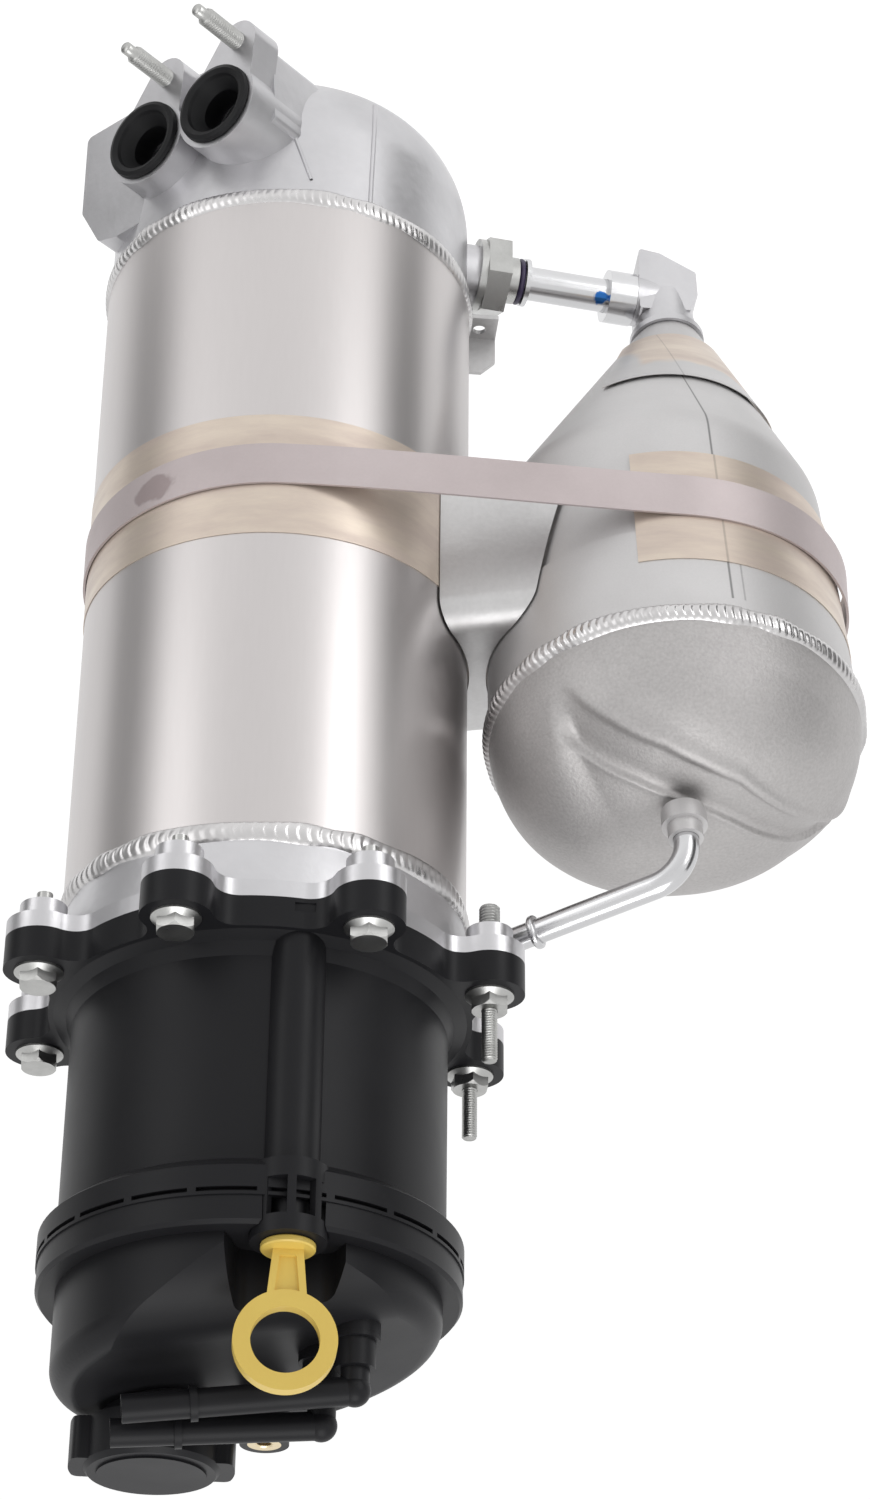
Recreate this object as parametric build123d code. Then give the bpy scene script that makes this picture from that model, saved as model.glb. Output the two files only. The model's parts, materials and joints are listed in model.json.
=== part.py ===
from build123d import *
from math import atan2, cos, degrees, hypot, radians, sin, sqrt
import os

# Engine oil tank of a dry-sump engine: a tall aluminium tank, a black moulded head bolted to its flange,
# and a coned expansion tank strapped to its side. Millimetres. Z is the axis of the tall tank and points
# to the filler cap. Z = 0 is the face where the aluminium flange meets the plastic flange. +Y is the side
# with the dipstick, and +X points to the expansion tank. The last lines move every piece to the row's origin.

# Tank tube and its welds
TUBE_R = 76.0
TUBE_WALL = 3.0
TUBE_BOTTOM = -322.0
TUBE_TOP = -27.5
WELD_HALF_WIDTH = 4.0
WELD_HEIGHT = 1.6
WELD_SEAT = 0.05
REGISTER_DEPTH = 6.0
FIT_GAP = 0.3

# Bolted flange: eight ears, six with plain bolts and two with stud bolts
BOLT_COUNT = 8
BOLT_CIRCLE_R = TUBE_R + 12.3
FIRST_BOLT_AZIMUTH = 22.5
STUD_BOLT_AZIMUTHS = (22.5, 337.5)
EAR_R = 13.0
FLANGE_ROOT_R = TUBE_R + 2.5
EAR_BLEND_R = 9.0
METAL_FLANGE_THICKNESS = 6.5
METAL_BORE_R = TUBE_R - 6.0
BOSS_R = 8.7
BOSS_HEIGHT = 7.5
NECK_FOOT_R = TUBE_R + 2.0
PLASTIC_FLANGE_THICKNESS = 12.0
BOLT_SHANK_R = 3.9
BOLT_HOLE_R = 4.1
LIMITER_R = 5.6
BOLT_TIP_R = 3.0
BOLT_TIP_LENGTH = 5.5
HEAD_SEAT = 0.05
HEX_ACROSS_FLATS = 13.0
HEX_HEIGHT = 6.5
WASHER_FACE_R = 9.0
WASHER_FACE_THICKNESS = 2.0
STUD_R = 3.0
STUD_LENGTH = 20.0
LONG_THREAD_OUT = 10.0

# Base casting
DOME_R = TUBE_R - 1.0
DOME_BOTTOM = TUBE_BOTTOM - 89.0
DOME_CORNER_R = 50.0
CASTING_WALL = 5.0
PORT_AZIMUTH = 132.0
PORT_TILT = 5.0
PORT_FACE_OUT = 12.547
PORT_SIDESTEP = -7.562
PORT_Z = TUBE_BOTTOM - 37.0
PORT_SPACING = 37.7
PORT_COLLAR_R = 19.5
PORT_SEAL_R = 16.6
PORT_SEAL_DEPTH = 14.0
PORT_PASSAGE_R = 8.5
LUG_THICKNESS = 15.0
LUG_END_R = 9.5
STUD_OFFSET = (11.6, 26.5)
PORT_BLOCK = ((-44, 31), (-47, -7), (-38, -25), (-28, -27), (8, -24), (26, -11), (57, -9), (57, 26), (48, 34), (4, 34))
PORT_BLOCK_BACK = 14.0
PORT_BLOCK_DEPTH = 60.0
PORT_BLOCK_CORNER_R = 3.0
PORT_STUD_R = 3.9
PORT_STUD_OUT = 20.5
PORT_STUD_TIP_R = 2.6
PORT_STUD_TIP_LENGTH = 5.5
PORT_STUD_ROOT = 10.0
PORT_STUD_ROOT_R = 3.6
SEAL_LIP_R = 17.4
SEAL_MOUTH_R = 9.2
SEAL_PROUD = 3.0

# Transfer pipe from the base casting to the expansion tank
PIPE_Z = TUBE_BOTTOM - 33.3
PIPE_AZIMUTH = -8.2
PIPE_LINE_Y = 5.3
PIPE_R = 7.3
PIPE_WALL = 1.2
SIDE_BOSS_R = 12.5
SIDE_BOSS_OUT = TUBE_R + 4.0
UNION_FACE_R = 15.5
UNION_FACE_THICKNESS = 3.0
UNION_HEX = 31.0
UNION_HEX_THICKNESS = 10.0
UNION_NECK_R = 10.0
UNION_NECK_LENGTH = 5.0
ORING_SECTION_R = 1.3
PIPE_FLANGE_R = 10.4
PIPE_FLANGE_THICKNESS = 2.0
COLLAR_R = 11.5
COLLAR_LENGTH = 12.0
ELBOW_FACE = 14.6
PIPE_INSERTION = 6.0
ELBOW_WIDTH = 23.0
ELBOW_SOCKET_R = 11.0
ELBOW_LEG_R = 12.6
ELBOW_OUTLINE = ((-12.4, -11), (-12.4, 21.7), (-3.2, 19.7), (12.5, 10.2), (13.0, -2.3), (9.7, -11))

# Expansion tank, in its own leaning frame: the weld of bowl and skirt is its Z = 0, the bowl is +Z
EXP_ORIGIN = (TUBE_R + 79.2, 20.2, -111.0)
EXP_LEAN = (-9.1, 1.3, 0.0)
EXP_WALL = 2.0
EXP_WELD_HEIGHT = 2.4
SKIRT_R = 72.4
LAP_HEIGHT = 45.0
LAP_STEP = 0.7
LAP_OVERLAP = 6.0
SHOULDER_R = 68.7
SHOULDER_HEIGHT = 110.0
SHOULDER_BLEND_R = 28.0
APEX_R = 15.4
APEX_OFFSET = 13.8
NECK_R = 13.0
NECK_HEIGHT = 12.0
NECK_ABOVE_PIPE = 12.5
NECK_DROP = EXP_ORIGIN[2] - PIPE_Z - NECK_ABOVE_PIPE
LEAN_COS = cos(radians(EXP_LEAN[0]))
SIDE_LEAN = radians(EXP_LEAN[1])
APEX_HEIGHT = (NECK_DROP / LEAN_COS - APEX_OFFSET * sin(SIDE_LEAN)) / cos(SIDE_LEAN) - NECK_HEIGHT
BOWL_DEPTH = 55.3
BOWL_CORNER_R = 56.0
BUNG_PLACE = (-4.0, 21.0)
BUNG_R = 8.6
BUNG_NECK_R = 6.6
BUNG_HEIGHT = 13.0

# Drain tube from the bowl to the flange
DRAIN_R = 4.8
DRAIN_WALL = 1.0
DRAIN_BEAD_R = 6.6
DRAIN_BEAD_LENGTH = 3.0
DRAIN_BEND_R = 15.0
DRAIN_RISE = 28.0
DRAIN_END = (TUBE_R, 6.5, -16.8)
DRAIN_BOSS_R = 6.0
DRAIN_BOSS_LENGTH = 9.0
DRAIN_INSERTION = 6.0

# Strap, saddle, tapes and the small side bracket
STRAP_LINE = (
    (-100, -183.5), (-42, -187.2), (0, -188.3), (40, -187.2),
    (120, -182.9), (160, -181.2), (190, -180.6), (240, -175.0),
)
STRAP_WIDTH = 18.2
STRAP_THICKNESS = 1.0
STRAP_GAP = 0.7
STRAP_EXP_CENTRE = (EXP_ORIGIN[0] - 1.6, 9.0)
STRAP_EXP_R = 73.5
BUCKLE_LENGTH = 34.0
BUCKLE_THICKNESS = 2.5
STRAP_BOLT_R = 3.0
STRAP_BOLT_SPARE = 12.0
STRAP_BOLT_HEX = 10.0
STRAP_BOLT_HEAD = 4.0
STRAP_NUT_HEIGHT = 5.0
TRUNNION_R = 6.6
BUCKLE_BOLT_OUT = 8.9
SADDLE_SHEET = 2.5
SADDLE_BEND_R = 11.0
SADDLE_FLOOR_Z = -141.0
SADDLE_TOP_Z = -206.0
SADDLE_FRONT = ((TUBE_R - 20.0, 43.9), (TUBE_R + 36.0, 60.0))
SADDLE_SPAN = (TUBE_R - 26.0, EXP_ORIGIN[0] - 15.2)
SADDLE_BACK_Y = -46.0
TAPE_THICKNESS = 0.3
TANK_TAPE = (-212.0, -157.0)
EXP_TAPE = (-87.0, -28.0)
EXP_TAPE_ARC = (-70.0, 108.0)
NECK_TAPE = (-203.0, -153.0)
NECK_TAPE_ARC = (20.0, 122.0)
BRACKET_SHEET = 2.0
BRACKET_Z = TUBE_BOTTOM - 10.0
BRACKET_BEND_Y = -20.0
BRACKET_PLATE = 16.0
BRACKET_DROP = 20.0
BRACKET_REACH = TUBE_R + 13.5
BRACKET_HOLE_R = 2.8
BRACKET_BEND_R = 3.0

# Moulded head
HEAD_R = METAL_BORE_R - 0.5
HEAD_WALL = 3.0
SPIGOT_DEPTH = 13.0
SPIGOT_GAP = 0.3
SPIGOT_GROOVE = (-8.5, -5.5)
SEAL_SECTION_R = 1.45
HEAD_FILLET_R = 7.0
RIM_R = HEAD_R + 6.5
RIM_LOW_Z = 100.6
RIM_JOINT_Z = 112.3
RIM_TOP_Z = 122.5
RIM_SLOT_HEIGHT = 1.6
RIM_SLOT_DEPTH = 2.6
RIM_SLOT_COUNT = 20
RIM_SLOT_RIB = 3.0
DIP_X = 10.0
DIP_Y = HEAD_R - 3.5
CHANNEL_R = 10.0
DIP_BORE_R = 4.6
DIP_BORE_FOOT = 3.0
TOWER_R = 13.2
TOWER_LOW_Z = 99.0
TOWER_TOP_Z = 125.6
TOWER_TUBE_R = 7.6
TOWER_WINDOW = (106.0, 119.5)
TOWER_WINDOW_COUNT = 8
TOWER_POST = 3.0
TOWER_RING = 2.4
NOTCH_X = 11.5
NOTCH_SIZE = (7.5, 1.2, 3.5)

# Cover with its sloping top
COVER_R = HEAD_R - 1.0
COVER_WALL = 3.0
COVER_TOP_AT_AXIS = 147.0
COVER_SLOPE = 9.8
COVER_EDGE_R = 8.0
COVER_FRONT_R = 34.0
COVER_FRONT_Y = HEAD_R
RECESS_DEPTH_Y = DIP_Y - 16.0
RECESS_FLOOR_HALF = 16.0
RECESS_MOUTH_HALF = 23.0

# Filler neck and cap
CAP_PLACE = (-31.0, -25.0)
CAP_TOP_Z = 176.6
CAP_R = 24.5
CAP_HEIGHT = 17.0
CAP_WALL = 3.8
CAP_WING_R = 29.3
CAP_WING_WIDTH = 20.0
CAP_WING_DROP = 3.5
CAP_DISC_R = 19.4
CAP_DISC_RISE = 0.8
CAP_SKIRT_GAP = 0.6
NECK_OUTER_R = 19.0
NECK_BORE_R = 15.0
NECK_TOP_BELOW_CAP = 5.0
CAP_PLUG_R = 14.6
CAP_PLUG_LENGTH = 13.0
CAP_LUG_R = 17.0
CAP_LUG_THICKNESS = 2.5
CAP_LUG_ARC = 44.0
NECK_GROOVE_GAP = 0.5
CAP_SEAL_R = 1.2

# Breather tubes on the cover, and the threaded insert
BREATHER_R = 5.0
BREATHER_WALL = 1.2
BREATHER_BEAD_R = 6.2
BREATHER_BEAD_LENGTH = 2.5
BREATHER_LEG_R = 7.1
BREATHER_FOOT_R = 8.6
BREATHER_FOOT_THICKNESS = 1.8
UPPER_BREATHER = ((-42.6, 30.0, 172.9), (36.0, 30.0, 163.0), -18.5)
LOWER_BREATHER = ((-46.0, 12.0, 175.2), (26.0, 12.0, 169.5), -23.0)
INSERT_PLACE = (8.0, -20.0)
INSERT_TOP_Z = 166.0
INSERT_BOSS_R = 8.8
INSERT_R = 6.0
INSERT_BORE_R = 2.6
INSERT_LENGTH = 11.0

# Dipstick
HANDLE_COLLAR_R = 9.4
HANDLE_COLLAR_THICKNESS = 2.6
HANDLE_STEM_HALF = (5.0, 7.0)
HANDLE_THICKNESS = 5.0
HANDLE_RING_R = 17.5
HANDLE_RING_HOLE_R = 11.6
HANDLE_RING_Z = 160.3
HANDLE_PLUG_R = 4.1
HANDLE_PLUG_LENGTH = 24.0
HANDLE_GROOVE_R = 3.2
HANDLE_GROOVE_PLACES = (8.0, 14.0)
HANDLE_GROOVE_WIDTH = 2.2
BLADE_WIDTH = 4.4
BLADE_THICKNESS = 1.0
BLADE_INWARD = 2.4
BLADE_END_Z = -190.0

# Parts inside the tank
BAFFLE_THICKNESS = 1.5
BAFFLE_FLANGE = 8.0
BAFFLE_LOW_Z = TUBE_BOTTOM + 72.0
BAFFLE_HIGH_Z = TUBE_TOP - 42.5
BAFFLE_HOLE_R = 4.5
BAFFLE_HOLE_RINGS = ((56.0, 18), (40.0, 12))
BAFFLE_NOTCH_R = 8.0
RISER_R = 11.0
RISER_WALL = 1.5
RISER_LOW_Z = DOME_BOTTOM + 39.0
RISER_HIGH_Z = 84.0
SEPARATOR_R = 60.0
SEPARATOR_HUB_R = 13.0
SEPARATOR_Z = 60.0
SEPARATOR_DROP = 22.0
SEPARATOR_SHEET = 2.0
SEPARATOR_ARM_WIDTH = 8.0
STRAINER_R = 14.0
STRAINER_LENGTH = 22.0
STRAINER_SLOT_COUNT = 12

EXP_FRAME = Location(EXP_ORIGIN, EXP_LEAN)


def polar(radius, azimuth):
    return radius * cos(radians(azimuth)), radius * sin(radians(azimuth))


def cylinder(radius, z0, z1, x=0.0, y=0.0):
    return Pos(x, y, z0) * extrude(Circle(radius), z1 - z0)


def ring(outer, inner, z0, z1, x=0.0, y=0.0):
    return cylinder(outer, z0, z1, x, y) - cylinder(inner, z0 - 1, z1 + 1, x, y)


def turned(points):
    """Solid of revolution about Z from a closed outline of (radius, z) points."""
    face = Plane.XZ * make_face(Polyline(*points, close=True))
    return revolve(face, Axis.Z)


def torus(major, minor, z, x=0.0, y=0.0):
    return Pos(x, y, z) * Torus(major, minor)


def bolt_azimuths():
    return [FIRST_BOLT_AZIMUTH + 360.0 / BOLT_COUNT * k for k in range(BOLT_COUNT)]


def is_stud_bolt(azimuth):
    return any(abs(azimuth - stud) < 1.0 for stud in STUD_BOLT_AZIMUTHS)


def flange_plate(z0, z1, root_r=FLANGE_ROOT_R, ear_r=EAR_R, blend=EAR_BLEND_R):
    """Round plate with an ear at each bolt, blended where ear and plate meet."""
    outline = Circle(root_r)
    for azimuth in bolt_azimuths():
        outline += Pos(*polar(BOLT_CIRCLE_R, azimuth)) * Circle(ear_r)
    plate = Pos(0, 0, z0) * extrude(outline, z1 - z0)
    spacing = 360.0 / BOLT_COUNT

    def is_root(edge):
        middle = edge.center()
        turn = (degrees(atan2(middle.Y, middle.X)) - FIRST_BOLT_AZIMUTH) % spacing
        near = min(turn, spacing - turn)
        return abs(hypot(middle.X, middle.Y) - root_r) < 0.5 and 1.0 < near < spacing * 0.4

    roots = [edge for edge in plate.edges().filter_by(Axis.Z) if is_root(edge)]
    return fillet(roots, blend)


def bolt_holes(z0, z1, radius=BOLT_HOLE_R):
    return [cylinder(radius, z0, z1, *polar(BOLT_CIRCLE_R, azimuth)) for azimuth in bolt_azimuths()]


def port_frame(port=0, along=0.0, foot=0.0, out=0.0):
    """Plane on a port's face: X runs along the pair of ports, Y to the tank's foot, Z out of the face."""
    tilt = radians(PORT_TILT)
    turn = radians(PORT_AZIMUTH)
    normal = Vector(cos(tilt) * cos(turn), cos(tilt) * sin(turn), sin(tilt))
    side = Vector(sin(turn), -cos(turn), 0)
    outward = Vector(cos(turn), sin(turn), 0)
    origin = outward * (DOME_R + PORT_FACE_OUT) + side * PORT_SIDESTEP + Vector(0, 0, PORT_Z)
    base = Plane(origin=origin, x_dir=side, z_dir=normal)
    return base * Pos(along + PORT_SPACING * port, foot, out)


def pipe_frame(along=0.0):
    """Plane on the transfer line, the given length out from X = 0, with local Z along the line."""
    direction = Vector(cos(radians(PIPE_AZIMUTH)), sin(radians(PIPE_AZIMUTH)), 0)
    origin = Vector(0, PIPE_LINE_Y, PIPE_Z) + direction * along
    return Plane(origin=origin, x_dir=(0, 0, 1), z_dir=direction)


def union_start(index):
    """Length along the transfer line at which each stretch of the union starts."""
    lengths = [UNION_FACE_THICKNESS, UNION_HEX_THICKNESS, UNION_NECK_LENGTH]
    return SIDE_BOSS_OUT + sum(lengths[:index])


def elbow_centre():
    """Point of the transfer line straight under the expansion tank's neck."""
    neck = (EXP_FRAME * Pos(APEX_OFFSET, 0, -APEX_HEIGHT - NECK_HEIGHT)).position
    return pipe_frame(neck.X / cos(radians(PIPE_AZIMUTH))).origin


def elbow_reach():
    """Length along the transfer line from X = 0 to the elbow's centre."""
    return elbow_centre().X / cos(radians(PIPE_AZIMUTH))


def dome_outline(inset):
    """Half outline of the casting's domed end, moved inwards by the inset."""
    radius = DOME_R - inset
    corner = DOME_CORNER_R - inset
    bottom = DOME_BOTTOM + inset
    start = TUBE_BOTTOM
    line_side = Line((radius, start), (radius, bottom + corner))
    arc = RadiusArc((radius, bottom + corner), (radius - corner, bottom), corner)
    line_bottom = Line((radius - corner, bottom), (0, bottom))
    axis = Line((0, bottom), (0, start))
    top = Line((0, start), (radius, start))
    return make_face([line_side, arc, line_bottom, axis, top])


def dome(inset):
    return revolve(Plane.XZ * dome_outline(inset), Axis.Z)


def make_tank_tube():
    return ring(TUBE_R, TUBE_R - TUBE_WALL, TUBE_BOTTOM, TUBE_TOP)


def weld_ring(radius, z, height=WELD_HEIGHT):
    """Weld bead that stands on the outside of a round joint."""
    inner = radius + WELD_SEAT
    arc = ThreePointArc(
        (inner, z - WELD_HALF_WIDTH), (inner + height, z), (inner, z + WELD_HALF_WIDTH)
    )
    back = Line((inner, z + WELD_HALF_WIDTH), (inner, z - WELD_HALF_WIDTH))
    return revolve(Plane.XZ * make_face([arc, back]), Axis.Z)


def lug_outline(port):
    """Face of one port: collar round the port, tapering to a round end at its stud."""
    centre = Pos(PORT_SPACING * port, 0)
    stud = Pos(PORT_SPACING * port + STUD_OFFSET[0], STUD_OFFSET[1])
    return make_hull((centre * Circle(PORT_COLLAR_R * 0.86)).edges() + (stud * Circle(LUG_END_R)).edges())


def make_base_casting():
    body = dome(0)
    collar_plane = port_frame()
    for port in (0, 1):
        face = lug_outline(port)
        body += collar_plane * Pos(0, 0, -LUG_THICKNESS) * extrude(face, LUG_THICKNESS)
        body += port_frame(port, out=-PORT_BLOCK_DEPTH) * extrude(Circle(PORT_COLLAR_R), PORT_BLOCK_DEPTH)
    block = make_face(Polyline(*PORT_BLOCK, close=True))
    block = fillet(block.vertices(), PORT_BLOCK_CORNER_R)
    body += collar_plane * Pos(0, 0, -PORT_BLOCK_DEPTH) * extrude(block, PORT_BLOCK_DEPTH - PORT_BLOCK_BACK)
    body += pipe_frame(DOME_R - 12) * extrude(Circle(SIDE_BOSS_R), SIDE_BOSS_OUT - DOME_R + 12)
    body -= dome(CASTING_WALL)
    body -= cylinder(TUBE_R + 60, TUBE_BOTTOM, TUBE_BOTTOM + 80)
    body += ring(TUBE_R - TUBE_WALL - FIT_GAP, DOME_R - CASTING_WALL - 2, TUBE_BOTTOM - 4, TUBE_BOTTOM + REGISTER_DEPTH)
    for port in (0, 1):
        seat = port_frame(port, out=-PORT_SEAL_DEPTH) * extrude(Circle(PORT_SEAL_R + 0.1), PORT_SEAL_DEPTH + 5)
        passage = port_frame(port, out=-PORT_BLOCK_DEPTH - 20) * extrude(
            Circle(PORT_PASSAGE_R), PORT_BLOCK_DEPTH + 20
        )
        stud = port_frame(port, STUD_OFFSET[0], STUD_OFFSET[1], -PORT_STUD_ROOT - 1) * extrude(
            Circle(PORT_STUD_ROOT_R + 0.05), PORT_STUD_ROOT + 5
        )
        body = body - seat - passage - stud
    body -= pipe_frame(DOME_R - 25) * extrude(Circle(UNION_NECK_R - 3), 60)
    return body


def make_port_seal(port):
    outline = make_face(
        Polyline(
            (SEAL_MOUTH_R, -PORT_SEAL_DEPTH + 0.2),
            (PORT_SEAL_R, -PORT_SEAL_DEPTH + 0.2),
            (PORT_SEAL_R, 0.1),
            (SEAL_LIP_R, 0.6),
            (SEAL_LIP_R - 0.4, SEAL_PROUD - 0.6),
            (SEAL_LIP_R - 2.0, SEAL_PROUD),
            (SEAL_LIP_R - 4.0, SEAL_PROUD - 1.0),
            (SEAL_MOUTH_R + 3.6, SEAL_PROUD - 2.4),
            (SEAL_MOUTH_R, -4.0),
            close=True,
        )
    )
    return port_frame(port) * revolve(Plane.XZ * outline, Axis.Z)


def make_port_stud(port):
    root = cylinder(PORT_STUD_ROOT_R, -PORT_STUD_ROOT, 1)
    shank = cylinder(PORT_STUD_R, HEAD_SEAT, PORT_STUD_OUT)
    tip = cylinder(PORT_STUD_TIP_R, PORT_STUD_OUT, PORT_STUD_OUT + PORT_STUD_TIP_LENGTH)
    ends = (root + shank + tip).edges().group_by(Axis.Z)[-1]
    stud = chamfer(ends, 0.6)
    return port_frame(port, *STUD_OFFSET) * stud


def make_flange_ring():
    plate = flange_plate(-METAL_FLANGE_THICKNESS, 0)
    neck = turned(
        [
            (METAL_BORE_R, -METAL_FLANGE_THICKNESS),
            (METAL_BORE_R, TUBE_TOP),
            (TUBE_R, TUBE_TOP),
            (TUBE_R, TUBE_TOP + WELD_HALF_WIDTH + 0.5),
            (NECK_FOOT_R, -METAL_FLANGE_THICKNESS),
        ]
    )
    body = plate + neck
    for azimuth in bolt_azimuths():
        x, y = polar(BOLT_CIRCLE_R, azimuth)
        body += cylinder(BOSS_R, -METAL_FLANGE_THICKNESS - BOSS_HEIGHT, -METAL_FLANGE_THICKNESS, x, y)
    drain = drain_end_frame() * extrude(Circle(DRAIN_BOSS_R), DRAIN_BOSS_LENGTH)
    body += drain
    body -= cylinder(METAL_BORE_R, TUBE_TOP - 1, 1)
    body += ring(TUBE_R - TUBE_WALL - FIT_GAP, METAL_BORE_R, TUBE_TOP - REGISTER_DEPTH, TUBE_TOP)
    body -= bolt_holes(-METAL_FLANGE_THICKNESS - BOSS_HEIGHT - 1, 1)
    body -= drain_end_frame() * Pos(0, 0, -15) * extrude(Circle(DRAIN_R - DRAIN_WALL), 40)
    body -= drain_end_frame() * Pos(0, 0, DRAIN_BOSS_LENGTH - DRAIN_INSERTION) * extrude(
        Circle(DRAIN_R + 0.1), DRAIN_INSERTION + 1
    )
    return body


def drain_points():
    """Bung top, bend corner and end of the drain tube."""
    start = (EXP_FRAME * Pos(BUNG_PLACE[0], BUNG_PLACE[1], BOWL_DEPTH + BUNG_HEIGHT - 2)).position
    corner = (EXP_FRAME * Pos(BUNG_PLACE[0], BUNG_PLACE[1], BOWL_DEPTH + DRAIN_RISE)).position
    return start, corner, Vector(*DRAIN_END)


def drain_end_frame():
    """Plane at the flange end of the drain tube, local Z pointing back along the tube."""
    start, corner, end = drain_points()
    direction = (corner - end).normalized()
    return Plane(origin=end, x_dir=direction.cross(Vector(0, 0, 1)), z_dir=direction)


def make_drain_tube():
    start, corner, end = drain_points()
    back = (corner - end).normalized()
    tail = end + back * (DRAIN_BOSS_LENGTH - DRAIN_INSERTION + 0.2)
    path = FilletPolyline(start, corner, tail, radius=DRAIN_BEND_R)
    mouth = Plane(origin=start, z_dir=(corner - start).normalized())
    tube = sweep(mouth * (Circle(DRAIN_R) - Circle(DRAIN_R - DRAIN_WALL)), path)
    bead_place = end + back * (DRAIN_BOSS_LENGTH + 20)
    bead = Plane(origin=bead_place, z_dir=back) * Pos(0, 0, -DRAIN_BEAD_LENGTH / 2) * extrude(
        Circle(DRAIN_BEAD_R) - Circle(DRAIN_R - 0.5), DRAIN_BEAD_LENGTH
    )
    return tube + fillet(bead.edges().filter_by(GeomType.CIRCLE).sort_by(SortBy.RADIUS)[-2:], 1.2)


def make_side_union():
    face = pipe_frame(union_start(0)) * extrude(Circle(UNION_FACE_R), UNION_FACE_THICKNESS)
    hexagon = RegularPolygon(UNION_HEX / 2, 6, major_radius=False)
    nut = pipe_frame(union_start(1)) * extrude(hexagon, UNION_HEX_THICKNESS)
    neck = pipe_frame(union_start(2)) * extrude(Circle(UNION_NECK_R), UNION_NECK_LENGTH)
    nipple = pipe_frame(DOME_R - 11) * extrude(Circle(UNION_NECK_R - 3.1), SIDE_BOSS_OUT - DOME_R + 12)
    body = face + nut + neck + nipple
    body -= pipe_frame(DOME_R - 14) * extrude(Circle(PIPE_R - 2.5), 20)
    return body - pipe_frame(union_start(0) + 2) * extrude(Circle(PIPE_R + 0.1), 40)


def make_union_oring():
    middle = union_start(3) + ORING_SECTION_R + 0.3
    return pipe_frame(middle) * Torus(PIPE_R + 0.1 + ORING_SECTION_R, ORING_SECTION_R)


def make_transfer_pipe():
    start = union_start(0) + 3
    end = elbow_reach() - ELBOW_FACE + PIPE_INSERTION
    tube = pipe_frame(start) * extrude(Circle(PIPE_R) - Circle(PIPE_R - PIPE_WALL), end - start)
    lip = pipe_frame(union_start(3) + 2 * ORING_SECTION_R + 0.6) * extrude(
        Circle(PIPE_FLANGE_R) - Circle(PIPE_R - 0.5), PIPE_FLANGE_THICKNESS
    )
    return tube + lip


def make_pipe_collar():
    start = elbow_reach() - ELBOW_FACE - COLLAR_LENGTH - 0.3
    body = pipe_frame(start) * extrude(Circle(COLLAR_R) - Circle(PIPE_R + 0.1), COLLAR_LENGTH)
    window = pipe_frame(start + COLLAR_LENGTH / 2) * Pos(-3, COLLAR_R, 0) * Box(3.4, 4, 4.4)
    return body - window


def make_elbow_block():
    """Block that turns the flow from the pipe into the neck of the expansion tank."""
    centre = elbow_centre()
    reach = elbow_reach()
    plan = Plane(origin=(centre.X, centre.Y + ELBOW_WIDTH / 2, centre.Z), x_dir=(1, 0, 0), z_dir=(0, 1, 0))
    outline = make_face(Polyline(*ELBOW_OUTLINE, close=True))
    body = plan * Pos(0, 0, -ELBOW_WIDTH) * extrude(outline, ELBOW_WIDTH)
    body = fillet(body.edges().filter_by(Axis.Y), 1.5)
    body += pipe_frame(reach - ELBOW_FACE) * extrude(Circle(ELBOW_SOCKET_R), ELBOW_FACE)
    foot = EXP_FRAME * Pos(APEX_OFFSET, 0, -APEX_HEIGHT - NECK_HEIGHT)
    body += foot * Pos(0, 0, -12) * extrude(Circle(ELBOW_LEG_R), 12)
    body -= foot * Pos(0, 0, 0) * extrude(Circle(60), 60)
    body -= pipe_frame(reach - ELBOW_FACE - 1) * extrude(Circle(PIPE_R + 0.1), PIPE_INSERTION + 1.3)
    body -= pipe_frame(reach - ELBOW_FACE) * extrude(Circle(PIPE_R - PIPE_WALL), ELBOW_FACE)
    return body - foot * Pos(0, 0, -13) * extrude(Circle(PIPE_R - PIPE_WALL), 40)


def expansion_body(inset, low, high):
    """Cone and skirt of the expansion tank as one solid, between two heights below the weld."""
    skirt = turned(
        [
            (0, 0),
            (SKIRT_R - inset, 0),
            (SHOULDER_R - inset, -SHOULDER_HEIGHT),
            (0, -SHOULDER_HEIGHT),
        ]
    )
    shoulder = Pos(0, 0, -SHOULDER_HEIGHT) * Circle(SHOULDER_R - inset)
    apex = Pos(APEX_OFFSET, 0, -APEX_HEIGHT) * Circle(APEX_R - inset)
    body = skirt + loft([shoulder, apex], ruled=True)
    bend = body.edges().filter_by(GeomType.CIRCLE).filter_by_position(
        Axis.Z, -SHOULDER_HEIGHT - 0.1, -SHOULDER_HEIGHT + 0.1
    )
    body = fillet(bend, SHOULDER_BLEND_R - inset)
    return body & (Pos(0, 0, low) * extrude(Circle(200), high - low))


def make_expansion_cone():
    low = -APEX_HEIGHT
    high = -LAP_HEIGHT + LAP_OVERLAP
    outer = expansion_body(LAP_STEP + 0.3, low, high)
    outer = outer - expansion_body(EXP_WALL + LAP_STEP + 0.3, low - 1, high + 1)
    return EXP_FRAME * outer


def make_expansion_skirt():
    low = -LAP_HEIGHT
    outer = expansion_body(0, low, 0)
    inner = expansion_body(LAP_STEP + 0.2, low - 1, 0)
    lower = turned([(0, low + LAP_OVERLAP + 1), (SKIRT_R - EXP_WALL, low + LAP_OVERLAP + 1),
                    (SKIRT_R - EXP_WALL, 1), (0, 1)])
    keep = Pos(0, 0, low - 1) * extrude(Circle(200), LAP_OVERLAP + 2)
    return EXP_FRAME * (outer - (inner & keep) - lower)


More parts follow.
